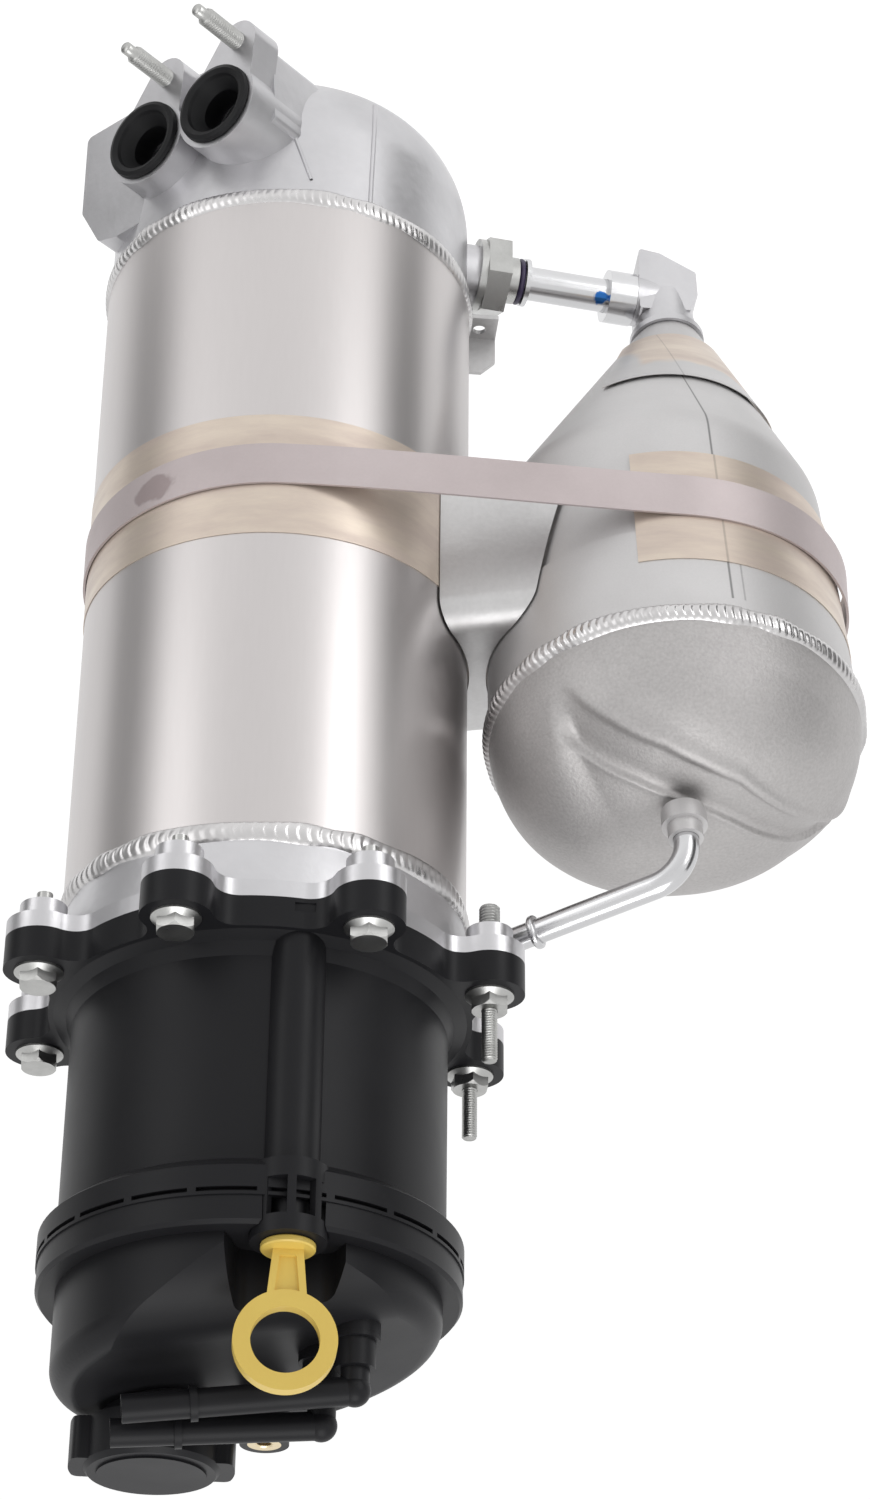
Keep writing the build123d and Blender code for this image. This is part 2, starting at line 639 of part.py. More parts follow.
def bowl_dome(inset, depth):
    radius = SKIRT_R - inset
    corner = min(BOWL_CORNER_R, depth) - inset
    depth = depth - inset
    arc = RadiusArc((radius, depth - corner), (radius - corner, depth), -corner)
    lines = [
        arc,
        Line((radius - corner, depth), (0, depth)),
        Line((0, depth), (0, 0)),
        Line((0, 0), (radius, 0)),
    ]
    if depth - corner > 0.01:
        lines.append(Line((radius, 0), (radius, depth - corner)))
    return revolve(Plane.XZ * make_face(lines), Axis.Z)


def make_expansion_bowl():
    shell = bowl_dome(0, BOWL_DEPTH) - bowl_dome(EXP_WALL, BOWL_DEPTH)
    shell -= bung_frame() * Pos(0, 0, -12) * extrude(Circle(BUNG_NECK_R - 2), 30)
    return EXP_FRAME * shell


def bung_frame():
    return Pos(BUNG_PLACE[0], BUNG_PLACE[1], BOWL_DEPTH - 1.0)


def make_bowl_bung():
    body = extrude(Circle(BUNG_R), BUNG_HEIGHT * 0.55) + extrude(Circle(BUNG_NECK_R), BUNG_HEIGHT)
    body = EXP_FRAME * bung_frame() * body
    body -= EXP_FRAME * bowl_dome(-0.1, BOWL_DEPTH)
    return body - EXP_FRAME * bung_frame() * Pos(0, 0, -5) * extrude(Circle(DRAIN_R + 0.1), 40)


def make_expansion_weld():
    return EXP_FRAME * weld_ring(SKIRT_R, 0.0, EXP_WELD_HEIGHT)


def make_neck_ring():
    body = turned(
        [
            (APEX_R - 4, 0),
            (APEX_R + 0.6, 0),
            (APEX_R + 0.6, -3),
            (NECK_R, -3.5),
            (NECK_R, -NECK_HEIGHT + 0.2),
            (NECK_R - 3.5, -NECK_HEIGHT + 0.2),
            (NECK_R - 3.5, -3),
        ]
    )
    return EXP_FRAME * Pos(APEX_OFFSET, 0, -APEX_HEIGHT - 0.2) * body


def strap_outline(offset):
    """Belt line round the tank and the expansion tank, moved outwards by the offset."""
    first = Circle(TUBE_R + STRAP_GAP + offset)
    second = Pos(*STRAP_EXP_CENTRE) * Circle(STRAP_EXP_R + offset)
    return make_hull(first.edges() + second.edges())


def make_strap_band():
    band = strap_outline(STRAP_THICKNESS) - strap_outline(0)
    band = Pos(0, 0, -260) * extrude(band, 160)
    low = [(x, z - STRAP_WIDTH / 2) for x, z in STRAP_LINE]
    high = [(x, z + STRAP_WIDTH / 2) for x, z in STRAP_LINE]
    edges = [Spline(*low), Line(low[-1], high[-1]), Spline(*reversed(high)), Line(high[0], low[0])]
    keep = Plane.XZ * make_face(edges)
    return band & extrude(keep, 300, both=True)


def strap_height(x):
    """Height of the strap's middle line at the given X."""
    for (x0, z0), (x1, z1) in zip(STRAP_LINE, STRAP_LINE[1:]):
        if x0 <= x <= x1:
            return z0 + (z1 - z0) * (x - x0) / (x1 - x0)
    return STRAP_LINE[-1][1]


def rear_run():
    """Middle point and direction of the strap's straight run at the rear."""
    x, y = STRAP_EXP_CENTRE
    span = hypot(x, y)
    base = degrees(atan2(y, x))
    r1 = TUBE_R + STRAP_GAP + STRAP_THICKNESS
    r2 = STRAP_EXP_R + STRAP_THICKNESS
    swing = degrees(atan2(r1 - r2, sqrt(span ** 2 - (r1 - r2) ** 2)))
    normal = base - 90.0 + swing
    p1 = polar(r1, normal)
    p2 = (x + polar(r2, normal)[0], y + polar(r2, normal)[1])
    middle = ((p1[0] + p2[0]) / 2, (p1[1] + p2[1]) / 2)
    return middle, normal


def make_strap_buckle():
    (x, y), normal = rear_run()
    place = Pos(x, y, strap_height(x)) * Rot(0, 0, normal)
    plate = Pos(BUCKLE_THICKNESS / 2 + 0.1, 0, 0) * Box(BUCKLE_THICKNESS, BUCKLE_LENGTH * 1.7, STRAP_WIDTH - 2)
    body = fillet(plate.edges().filter_by(Axis.X), 3)
    for side in (-1, 1):
        loop = Pos(BUCKLE_BOLT_OUT, side * BUCKLE_LENGTH / 2, 0) * Cylinder(TRUNNION_R, STRAP_WIDTH - 4)
        body += loop
    bore = Pos(BUCKLE_BOLT_OUT, 0, 0) * Rot(90, 0, 0) * Cylinder(STRAP_BOLT_R + 0.1, BUCKLE_LENGTH * 3)
    return place * (body - bore)


def make_strap_bolt():
    (x, y), normal = rear_run()
    place = Pos(x, y, strap_height(x)) * Rot(0, 0, normal) * Pos(BUCKLE_BOLT_OUT, 0, 0) * Rot(90, 0, 0)
    head_z = BUCKLE_LENGTH / 2 + TRUNNION_R + 0.1
    hexagon = RegularPolygon(STRAP_BOLT_HEX / 2, 6, major_radius=False)
    head = Pos(0, 0, head_z) * extrude(hexagon, STRAP_BOLT_HEAD)
    nut = Pos(0, 0, -head_z - STRAP_NUT_HEIGHT) * extrude(hexagon, STRAP_NUT_HEIGHT)
    shank = cylinder(STRAP_BOLT_R, -head_z - STRAP_BOLT_SPARE + 2, head_z + 2)
    return place * (shank + head + nut)


def make_saddle():
    """Bent sheet between the tanks: a front wall, a floor and a back wall, cut to both tanks."""
    (x0, y0), (x1, y1) = SADDLE_FRONT
    slope = degrees(atan2(y1 - y0, x1 - x0))
    height = SADDLE_FLOOR_Z - SADDLE_TOP_Z
    depth = y0 - SADDLE_BACK_Y
    outer = RectangleRounded(depth, height * 2, SADDLE_BEND_R)
    inner = offset(outer, -SADDLE_SHEET)
    section = Plane.YZ * (Pos(-depth / 2, -height) * (outer - inner))
    channel = extrude(section, x1 - x0 + 40)
    cut_open = Pos(0, 0, -height * 2) * Box(400, 400, height * 2, align=(Align.CENTER, Align.CENTER, Align.MIN))
    channel = channel - Pos(0, 0, -height) * cut_open
    body = Pos(x0 - 6, y0, SADDLE_FLOOR_Z) * Rot(0, 0, slope) * channel
    body -= cylinder(TUBE_R + TAPE_THICKNESS + 0.4, TUBE_BOTTOM, TUBE_TOP)
    body -= EXP_FRAME * expansion_body(-TAPE_THICKNESS - 0.4, -180, 0)
    body -= EXP_FRAME * Pos(0, 0, -WELD_HALF_WIDTH - 1) * cylinder(SKIRT_R + WELD_HEIGHT + 1, 0, 60)
    start, stop = SADDLE_SPAN
    keep = Pos((start + stop) / 2, 0, 0) * Box(stop - start, 200, 800)
    pieces = (body & keep).solids().sort_by(SortBy.VOLUME)
    return pieces[-1]


def make_tank_tape():
    return ring(TUBE_R + WELD_SEAT + TAPE_THICKNESS, TUBE_R + WELD_SEAT, *TANK_TAPE)


def expansion_skin(low, high, arc):
    """Thin band of tape on the cone and skirt, over an arc of azimuths."""
    outer = expansion_body(-WELD_SEAT - TAPE_THICKNESS, low, high)
    inner = expansion_body(-WELD_SEAT, low - 1, high + 1)
    start, stop = arc
    points = [(0, 0)] + [polar(150, start + (stop - start) * k / 8) for k in range(9)]
    wedge = Pos(0, 0, low - 1) * extrude(make_face(Polyline(*points, close=True)), high - low + 2)
    return EXP_FRAME * ((outer - inner) & wedge)


def make_side_bracket():
    width = BRACKET_REACH - TUBE_R + 12
    x0 = BRACKET_REACH - width
    plate = Pos(x0, BRACKET_BEND_Y, BRACKET_Z) * Box(
        width, BRACKET_PLATE, BRACKET_SHEET, align=(Align.MIN, Align.MIN, Align.MIN)
    )
    wall = Pos(x0, BRACKET_BEND_Y, BRACKET_Z) * Box(
        width, BRACKET_SHEET, BRACKET_DROP, align=(Align.MIN, Align.MIN, Align.MIN)
    )
    body = plate + wall
    outer_bend = body.edges().filter_by(Axis.X).sort_by(lambda e: (e.center().Y + e.center().Z))[0]
    body = fillet(outer_bend, BRACKET_BEND_R)
    corner = [e for e in body.edges().filter_by(Axis.Y) if e.center().X > BRACKET_REACH - 1
              and e.center().Z > BRACKET_Z + BRACKET_DROP - 1]
    body = chamfer(corner, 6)
    body -= cylinder(BRACKET_HOLE_R, BRACKET_Z - 1, BRACKET_Z + 3, TUBE_R + 6, BRACKET_BEND_Y + BRACKET_PLATE / 2)
    body -= cylinder(TUBE_R + WELD_HEIGHT + FIT_GAP + 0.1, TUBE_BOTTOM - WELD_HALF_WIDTH - 1, 0)
    return body - cylinder(TUBE_R + FIT_GAP, DOME_BOTTOM, 0)


def dipstick_bore(radius, z0, z1):
    return cylinder(radius, z0, z1, DIP_X, DIP_Y)


def rim_slots():
    """Thin slots in the rim, left between ribs."""
    top = RIM_JOINT_Z - 1.2
    groove = ring(RIM_R + 1, RIM_R - RIM_SLOT_DEPTH, top - RIM_SLOT_HEIGHT, top)
    for k in range(RIM_SLOT_COUNT):
        azimuth = 360.0 / RIM_SLOT_COUNT * k
        groove -= Rot(0, 0, azimuth) * Pos(RIM_R, 0, top - 1) * Box(12, RIM_SLOT_RIB, 6)
    return groove


def make_head_housing():
    """Moulded head: spigot, eared flange, barrel, rim, dipstick channel and its windowed tower."""
    inner_r = HEAD_R - HEAD_WALL
    body = flange_plate(0, PLASTIC_FLANGE_THICKNESS)
    barrel = cylinder(HEAD_R, PLASTIC_FLANGE_THICKNESS, RIM_LOW_Z + 2)
    foot = turned(
        [
            (HEAD_R - 1, PLASTIC_FLANGE_THICKNESS - 1),
            (HEAD_R + HEAD_FILLET_R, PLASTIC_FLANGE_THICKNESS - 1),
            (HEAD_R + HEAD_FILLET_R, PLASTIC_FLANGE_THICKNESS),
            (HEAD_R + 2.2, PLASTIC_FLANGE_THICKNESS + 2.2),
            (HEAD_R, PLASTIC_FLANGE_THICKNESS + HEAD_FILLET_R),
            (HEAD_R - 1, PLASTIC_FLANGE_THICKNESS + HEAD_FILLET_R),
        ]
    )
    spigot = cylinder(METAL_BORE_R - SPIGOT_GAP, -SPIGOT_DEPTH, 0)
    rim = turned(
        [
            (0, RIM_LOW_Z - 4),
            (HEAD_R, RIM_LOW_Z - 4),
            (RIM_R - 1, RIM_LOW_Z),
            (RIM_R, RIM_LOW_Z + 1),
            (RIM_R, RIM_JOINT_Z),
            (0, RIM_JOINT_Z),
        ]
    )
    body = body + barrel + foot + spigot + rim
    channel = dipstick_bore(CHANNEL_R, PLASTIC_FLANGE_THICKNESS - 1, TOWER_LOW_Z + 1)
    channel &= Pos(DIP_X, DIP_Y + 30, 50) * Box(60, 60 + 2 * CHANNEL_R, 220)
    body += channel
    body -= cylinder(inner_r, -SPIGOT_DEPTH - 1, RIM_JOINT_Z + 1)
    wall_inside = dipstick_bore(DIP_BORE_R + 2.4, DIP_BORE_FOOT, RIM_JOINT_Z) & cylinder(HEAD_R, -60, 200)
    body += wall_inside
    low, high = SPIGOT_GROOVE
    body -= ring(METAL_BORE_R + 1, METAL_BORE_R - 2 * SEAL_SECTION_R - 0.1, low, high)
    body -= rim_slots()
    tower = dipstick_bore(TOWER_R, TOWER_LOW_Z, TOWER_TOP_Z)
    w0, w1 = TOWER_WINDOW
    hollow = ring(TOWER_R - TOWER_RING, TOWER_TUBE_R, w0, w1, DIP_X, DIP_Y)
    windows = ring(TOWER_R + 1, TOWER_TUBE_R, w0, w1, DIP_X, DIP_Y)
    for k in range(TOWER_WINDOW_COUNT):
        turn = 360.0 / TOWER_WINDOW_COUNT * k + 90
        windows -= Pos(DIP_X, DIP_Y, (w0 + w1) / 2) * Rot(0, 0, turn) * Pos(
            TOWER_R, 0, 0) * Box(2 * (TOWER_R - TOWER_TUBE_R), TOWER_POST, w1 - w0)
    tower -= hollow + windows
    tower -= cylinder(RIM_R - 4, TOWER_LOW_Z - 1, RIM_JOINT_Z)
    body += tower
    body += dipstick_bore(TOWER_TUBE_R, TOWER_LOW_Z, TOWER_TOP_Z)
    body -= dipstick_bore(DIP_BORE_R, DIP_BORE_FOOT - 1, TOWER_TOP_Z + 1)
    body -= bolt_holes(-1, PLASTIC_FLANGE_THICKNESS + 1, LIMITER_R + 0.05)
    width, depth, height = NOTCH_SIZE
    body -= Pos(NOTCH_X, FLANGE_ROOT_R, 3.5) * Box(width, 2 * depth, height)
    return body


def make_flange_seal():
    low, high = SPIGOT_GROOVE
    return torus(METAL_BORE_R - 0.05 - SEAL_SECTION_R, SEAL_SECTION_R, (low + high) / 2)


def make_limiters():
    """Steel sleeves that carry the bolt load through the plastic ears."""
    sleeves = []
    for azimuth in bolt_azimuths():
        x, y = polar(BOLT_CIRCLE_R, azimuth)
        sleeves.append(ring(LIMITER_R, BOLT_HOLE_R, 0.05, PLASTIC_FLANGE_THICKNESS, x, y))
    return Compound(children=[s.solid() for s in sleeves])


def bolt_head(z):
    hexagon = extrude(RegularPolygon(HEX_ACROSS_FLATS / 2, 6, major_radius=False), HEX_HEIGHT)
    half = HEX_ACROSS_FLATS / 2
    cone = turned([(0, 0), (half, 0), (half + 1.1, 1.5), (half + 1.1, HEX_HEIGHT - 1.5), (half, HEX_HEIGHT), (0, HEX_HEIGHT)])
    crown = WASHER_FACE_THICKNESS + 0.6
    washer = turned([(0, 0), (WASHER_FACE_R, 0), (WASHER_FACE_R, 0.8), (half, crown), (0, crown)])
    return Pos(0, 0, z) * (washer + (hexagon & cone))


def make_flange_bolts():
    bolts = []
    seat = PLASTIC_FLANGE_THICKNESS + HEAD_SEAT
    foot = -METAL_FLANGE_THICKNESS - BOSS_HEIGHT
    for azimuth in bolt_azimuths():
        if is_stud_bolt(azimuth):
            continue
        body = bolt_head(seat) + cylinder(BOLT_SHANK_R, foot + 0.2, seat + 1)
        body += cylinder(BOLT_TIP_R, foot - BOLT_TIP_LENGTH, foot + 1)
        x, y = polar(BOLT_CIRCLE_R, azimuth)
        bolts.append(Pos(x, y, 0) * Rot(0, 0, azimuth * 1.3 + 7) * body)
    return Compound(children=[b.solid() for b in bolts])


def make_stud_bolts():
    bolts = []
    seat = PLASTIC_FLANGE_THICKNESS + HEAD_SEAT
    foot = -METAL_FLANGE_THICKNESS - BOSS_HEIGHT
    for azimuth in STUD_BOLT_AZIMUTHS:
        body = bolt_head(seat) + cylinder(BOLT_SHANK_R, foot - LONG_THREAD_OUT, seat + 1)
        stud = cylinder(STUD_R, seat, seat + HEX_HEIGHT + STUD_LENGTH)
        body += chamfer(stud.edges().group_by(Axis.Z)[-1], 0.7)
        x, y = polar(BOLT_CIRCLE_R, azimuth)
        bolts.append(Pos(x, y, 0) * Rot(0, 0, azimuth * 1.3 + 7) * body)
    return Compound(children=[b.solid() for b in bolts])


def cover_top_plane(drop=0.0):
    """Plane of the cover's sloping top, lowered by a wall thickness where asked."""
    return Plane(
        origin=(0, 0, COVER_TOP_AT_AXIS - drop),
        x_dir=(cos(radians(COVER_SLOPE)), 0, -sin(radians(COVER_SLOPE))),
        z_dir=(sin(radians(COVER_SLOPE)), 0, cos(radians(COVER_SLOPE))),
    )


def cover_height(x):
    return COVER_TOP_AT_AXIS - x * sin(radians(COVER_SLOPE)) / cos(radians(COVER_SLOPE))


def cover_body(inset):
    body = cylinder(COVER_R - inset, RIM_JOINT_Z - 1, 200)
    body -= cover_top_plane(inset) * extrude(Circle(200), 100)
    top = body.faces().sort_by(Axis.Z)[-1]
    body = fillet(top.edges(), COVER_EDGE_R - inset)
    block = Box(400, 400, 400, align=(Align.CENTER, Align.MAX, Align.MAX))
    front = block.edges().filter_by(Axis.X).sort_by(lambda e: -e.center().Y - e.center().Z)[0]
    block = fillet(front, COVER_FRONT_R - inset)
    slope = cover_top_plane(inset) * Pos(0, COVER_FRONT_Y - inset, 0)
    return body & (slope * block)


def recess(inset):
    floor = RECESS_FLOOR_HALF + inset
    mouth = RECESS_MOUTH_HALF + inset
    y0 = RECESS_DEPTH_Y - inset
    outline = Polyline(
        (DIP_X - floor, y0), (DIP_X + floor, y0), (DIP_X + mouth, COVER_R + 3), (DIP_X - mouth, COVER_R + 3), close=True
    )
    cut = Pos(0, 0, RIM_TOP_Z - 0.5 - inset) * extrude(make_face(outline), 80)
    return fillet(cut.edges().filter_by(Axis.Z).sort_by(Axis.Y)[:2], 5)


def make_cover():
    outer = cover_body(0) - recess(0)
    inner = cover_body(COVER_WALL) - recess(COVER_WALL)
    body = outer - inner
    body -= cylinder(300, RIM_JOINT_Z - 20, RIM_JOINT_Z + 0.02)
    rim = turned(
        [
            (COVER_R - COVER_WALL, RIM_JOINT_Z + 0.02),
            (RIM_R - 0.6, RIM_JOINT_Z + 0.02),
            (RIM_R - 0.4, RIM_TOP_Z - 1.5),
            (RIM_R - 1.6, RIM_TOP_Z),
            (COVER_R - COVER_WALL, RIM_TOP_Z),
        ]
    )
    body += rim
    body -= dipstick_bore(TOWER_R + FIT_GAP, RIM_JOINT_Z - 1, TOWER_TOP_Z + 1)
    cap_x, cap_y = CAP_PLACE
    neck_top = CAP_TOP_Z - NECK_TOP_BELOW_CAP
    body += cylinder(NECK_OUTER_R, COVER_TOP_AT_AXIS - 6, neck_top, cap_x, cap_y)
    body -= cylinder(NECK_BORE_R, 100, neck_top + 1, cap_x, cap_y)
    ix, iy = INSERT_PLACE
    post = cylinder(INSERT_BOSS_R, cover_height(ix) - 2.5, INSERT_TOP_Z, ix, iy)
    body += post
    body -= cylinder(INSERT_R + 0.05, INSERT_TOP_Z - INSERT_LENGTH, INSERT_TOP_Z + 1, ix, iy)
    for start, end, bead in (UPPER_BREATHER, LOWER_BREATHER):
        x, y = end[0], end[1]
        body += cylinder(BREATHER_FOOT_R, cover_height(x) - 3.5, cover_height(x) + 3.0, x, y)
        body -= cylinder(BREATHER_R - BREATHER_WALL, cover_height(x) - 10, cover_height(x) + 10, x, y)
    body -= neck_lug_ways()
    return body


def lug_top_z():
    return CAP_TOP_Z - NECK_TOP_BELOW_CAP - CAP_PLUG_LENGTH + 4 + CAP_LUG_THICKNESS


def neck_lug_ways():
    """Groove inside the neck in which the cap's lugs turn, and the two ways in."""
    x, y = CAP_PLACE
    high = lug_top_z() + NECK_GROOVE_GAP
    low = lug_top_z() - CAP_LUG_THICKNESS - NECK_GROOVE_GAP
    groove = cylinder(CAP_LUG_R + NECK_GROOVE_GAP, low, high, x, y)
    way = Box(2 * (CAP_LUG_R + NECK_GROOVE_GAP), CAP_LUG_R * 0.95, 40, align=(Align.CENTER, Align.CENTER, Align.MIN))
    way = Pos(x, y, low) * Rot(0, 0, 90) * way
    return groove + (way & cylinder(CAP_LUG_R + NECK_GROOVE_GAP, low, low + 40, x, y))


def make_filler_cap():
    x, y = CAP_PLACE
    low = CAP_TOP_Z - CAP_HEIGHT
    body = cylinder(CAP_R, low, CAP_TOP_Z)
    body = chamfer(body.edges().group_by(Axis.Z)[-1], 1.8)
    wing = Rectangle(2 * CAP_WING_R, CAP_WING_WIDTH) & Circle(CAP_WING_R)
    wing = Pos(0, 0, low) * extrude(wing, CAP_HEIGHT - CAP_WING_DROP + 2.0)
    wing = fillet(wing.edges().filter_by(Axis.Z), 3)
    body += wing
    body += cylinder(CAP_DISC_R, CAP_TOP_Z - 1, CAP_TOP_Z + CAP_DISC_RISE)
    body -= cylinder(NECK_OUTER_R + CAP_SKIRT_GAP, low - 1, CAP_TOP_Z - NECK_TOP_BELOW_CAP + 0.5)
    plug_low = CAP_TOP_Z - NECK_TOP_BELOW_CAP - CAP_PLUG_LENGTH
    body += ring(CAP_PLUG_R, CAP_PLUG_R - CAP_WALL, plug_low, CAP_TOP_Z - NECK_TOP_BELOW_CAP + 1)
    lug = Rectangle(2 * CAP_LUG_R, CAP_LUG_R * 0.8) & Circle(CAP_LUG_R)
    lug -= Circle(CAP_PLUG_R - 1)
    body += Pos(0, 0, lug_top_z() - CAP_LUG_THICKNESS) * extrude(lug, CAP_LUG_THICKNESS)
    groove_z = CAP_TOP_Z - NECK_TOP_BELOW_CAP - 3
    root = NECK_BORE_R - 2 * CAP_SEAL_R - 0.15
    body -= ring(CAP_PLUG_R + 1, root, groove_z - CAP_SEAL_R - 0.2, groove_z + CAP_SEAL_R + 0.2)
    return Pos(x, y, 0) * body


def make_cap_seal():
    x, y = CAP_PLACE
    z = CAP_TOP_Z - NECK_TOP_BELOW_CAP - 3
    return torus(NECK_BORE_R - 0.08 - CAP_SEAL_R, CAP_SEAL_R, z, x, y)


def make_breather(route):
    """Hose tube that lies over the cover, with a bead near its open end and a leg down to the cover."""
    start, end, bead_x = route
    start, end = Vector(*start), Vector(*end)
    foot_z = cover_height(end.X) + 3.05
    direction = (end - start).normalized()
    mouth = Plane(origin=start, z_dir=direction)
    tube = mouth * extrude(Circle(BREATHER_R), (end - start).length)
    leg = cylinder(BREATHER_R, foot_z, end.Z, end.X, end.Y)
    knee = Pos(end.X, end.Y, end.Z) * Sphere(BREATHER_R + 0.6)
    foot = cylinder(BREATHER_LEG_R, foot_z, end.Z - BREATHER_R - 2.5, end.X, end.Y)
    foot += cylinder(BREATHER_FOOT_R, foot_z, foot_z + BREATHER_FOOT_THICKNESS, end.X, end.Y)
    share = (bead_x - start.X) / (end.X - start.X)
    bead_at = start + (end - start) * share
    bead = Plane(origin=bead_at, z_dir=direction) * Pos(0, 0, -BREATHER_BEAD_LENGTH / 2) * extrude(
        Circle(BREATHER_BEAD_R), BREATHER_BEAD_LENGTH
    )
    body = tube + leg + knee + foot + bead
    bore = BREATHER_R - BREATHER_WALL
    body -= mouth * Pos(0, 0, -1) * extrude(Circle(bore), (end - start).length + 1)
    body -= Pos(end.X, end.Y, end.Z) * Sphere(bore)
    return body - cylinder(bore, foot_z - 1, end.Z, end.X, end.Y)


def make_insert():
    x, y = INSERT_PLACE
    low = INSERT_TOP_Z - INSERT_LENGTH + 0.05
    body = ring(INSERT_R, INSERT_BORE_R, low, INSERT_TOP_Z, x, y)
    rim = body.edges().filter_by(GeomType.CIRCLE).group_by(Axis.Z)[-1].sort_by(SortBy.RADIUS)
    return chamfer(rim[0], 0.5)


def make_dipstick_handle():
    seat = TOWER_TOP_Z + 0.1
    collar = dipstick_bore(HANDLE_COLLAR_R, seat, seat + HANDLE_COLLAR_THICKNESS)
    collar = chamfer(collar.edges(), 0.5)
    lower, upper = HANDLE_STEM_HALF
    stem_top = HANDLE_RING_Z - HANDLE_RING_HOLE_R - 1
    outline = Polyline(
        (-lower, seat + 1), (lower, seat + 1), (upper, stem_top), (-upper, stem_top), close=True
    )
    front = Plane(origin=(DIP_X, DIP_Y + HANDLE_THICKNESS / 2, 0), x_dir=(1, 0, 0), z_dir=(0, -1, 0))
    stem = front * extrude(make_face(outline), HANDLE_THICKNESS)
    panel = make_face(
        Polyline((-lower + 2.2, seat + 5), (lower - 2.2, seat + 5), (upper - 2.8, stem_top - 4), (-upper + 2.8, stem_top - 4),
                 close=True)
    )
    stem -= front * extrude(panel, 1.2)
    ring_plane = front * Pos(0, HANDLE_RING_Z, 0)
    loop = ring_plane * extrude(Circle(HANDLE_RING_R), HANDLE_THICKNESS)
    hole = ring_plane * Pos(0, 0, -1) * extrude(Circle(HANDLE_RING_HOLE_R), HANDLE_THICKNESS + 2)
    body = collar + stem + loop - hole
    low = seat - HANDLE_PLUG_LENGTH
    body += dipstick_bore(HANDLE_PLUG_R, low, seat + 1)
    for place in HANDLE_GROOVE_PLACES:
        z = seat - place
        body -= ring(HANDLE_PLUG_R + 1, HANDLE_GROOVE_R, z - HANDLE_GROOVE_WIDTH / 2, z + HANDLE_GROOVE_WIDTH / 2, DIP_X, DIP_Y)
    slot = Pos(DIP_X, DIP_Y - BLADE_INWARD, low + 4) * Box(BLADE_WIDTH + 0.1, BLADE_THICKNESS + 0.1, 12)
    return body - slot


def make_dipstick_seals():
    seat = TOWER_TOP_Z + 0.1
    minor = (DIP_BORE_R - 0.05 - HANDLE_GROOVE_R - 0.02) / 2
    rings = [torus(HANDLE_GROOVE_R + 0.02 + minor, minor, seat - place, DIP_X, DIP_Y) for place in HANDLE_GROOVE_PLACES]
    return Compound(children=[r.solid() for r in rings])


def make_dipstick_blade():
    top = TOWER_TOP_Z + 0.1 - HANDLE_PLUG_LENGTH + 9.5
    length = top - BLADE_END_Z
    blade = Pos(DIP_X, DIP_Y - BLADE_INWARD, BLADE_END_Z) * Box(
        BLADE_WIDTH, BLADE_THICKNESS, length, align=(Align.CENTER, Align.CENTER, Align.MIN)
    )
    corners = blade.edges().filter_by(Axis.Y).group_by(Axis.Z)[0]
    return fillet(corners, 2.0)


def make_baffle(z):
    """Flanged disc with oil holes, a hole for the riser and a notch for the dipstick."""
    outer = TUBE_R - TUBE_WALL - FIT_GAP
    body = cylinder(outer, z, z + BAFFLE_THICKNESS)
    body += ring(outer, outer - BAFFLE_THICKNESS, z, z + BAFFLE_FLANGE)
    body -= cylinder(RISER_R + FIT_GAP, z - 1, z + 5)
    for radius, count in BAFFLE_HOLE_RINGS:
        for k in range(count):
            body -= cylinder(BAFFLE_HOLE_R, z - 1, z + 5, *polar(radius, 360.0 / count * k + 10))
    return body - dipstick_bore(BAFFLE_NOTCH_R, z - 1, z + BAFFLE_FLANGE + 1)


def make_riser_pipe():
    body = ring(RISER_R, RISER_R - RISER_WALL, RISER_LOW_Z, RISER_HIGH_Z)
    for k in range(3):
        body -= Pos(0, 0, RISER_HIGH_Z - 16) * Rot(0, 0, 120 * k) * Box(60, 6, 14)
    return body


def make_separator():
    """Cone under the head that throws oil outwards, carried by three arms on a spider."""
    z = SEPARATOR_Z
    hub = ring(SEPARATOR_HUB_R, RISER_R + FIT_GAP, z - 6, z + 6)
    cone = turned(
        [
            (SEPARATOR_HUB_R - 0.5, z),
            (SEPARATOR_R - 12, z - SEPARATOR_DROP),
            (SEPARATOR_R - 12, z - SEPARATOR_DROP - SEPARATOR_SHEET),
            (SEPARATOR_HUB_R - 0.5, z - SEPARATOR_SHEET),
        ]
    )
    body = hub + cone
    reach = HEAD_R - HEAD_WALL - FIT_GAP
    for k in range(3):
        arm = Pos(0, 0, z + 3) * Rot(0, 0, 120 * k + 30) * Pos(reach / 2, 0, 0) * Box(reach, SEPARATOR_ARM_WIDTH, 3)
        body += arm - cylinder(RISER_R + FIT_GAP, z - 10, z + 10)
    return body & cylinder(reach, z - 60, z + 60)


def make_strainer():
    """Slotted cup over the riser's foot in the domed base."""
    inner = RISER_R + FIT_GAP
    z0 = RISER_LOW_Z - STRAINER_LENGTH + 8
    body = ring(STRAINER_R, inner, z0 + 2, RISER_LOW_Z + 8) + cylinder(STRAINER_R, z0, z0 + 2)
    for k in range(STRAINER_SLOT_COUNT // 2):
        body -= Pos(0, 0, z0 + 8) * Rot(0, 0, 360.0 / STRAINER_SLOT_COUNT * k) * Box(60, 2.5, 9)
    return body


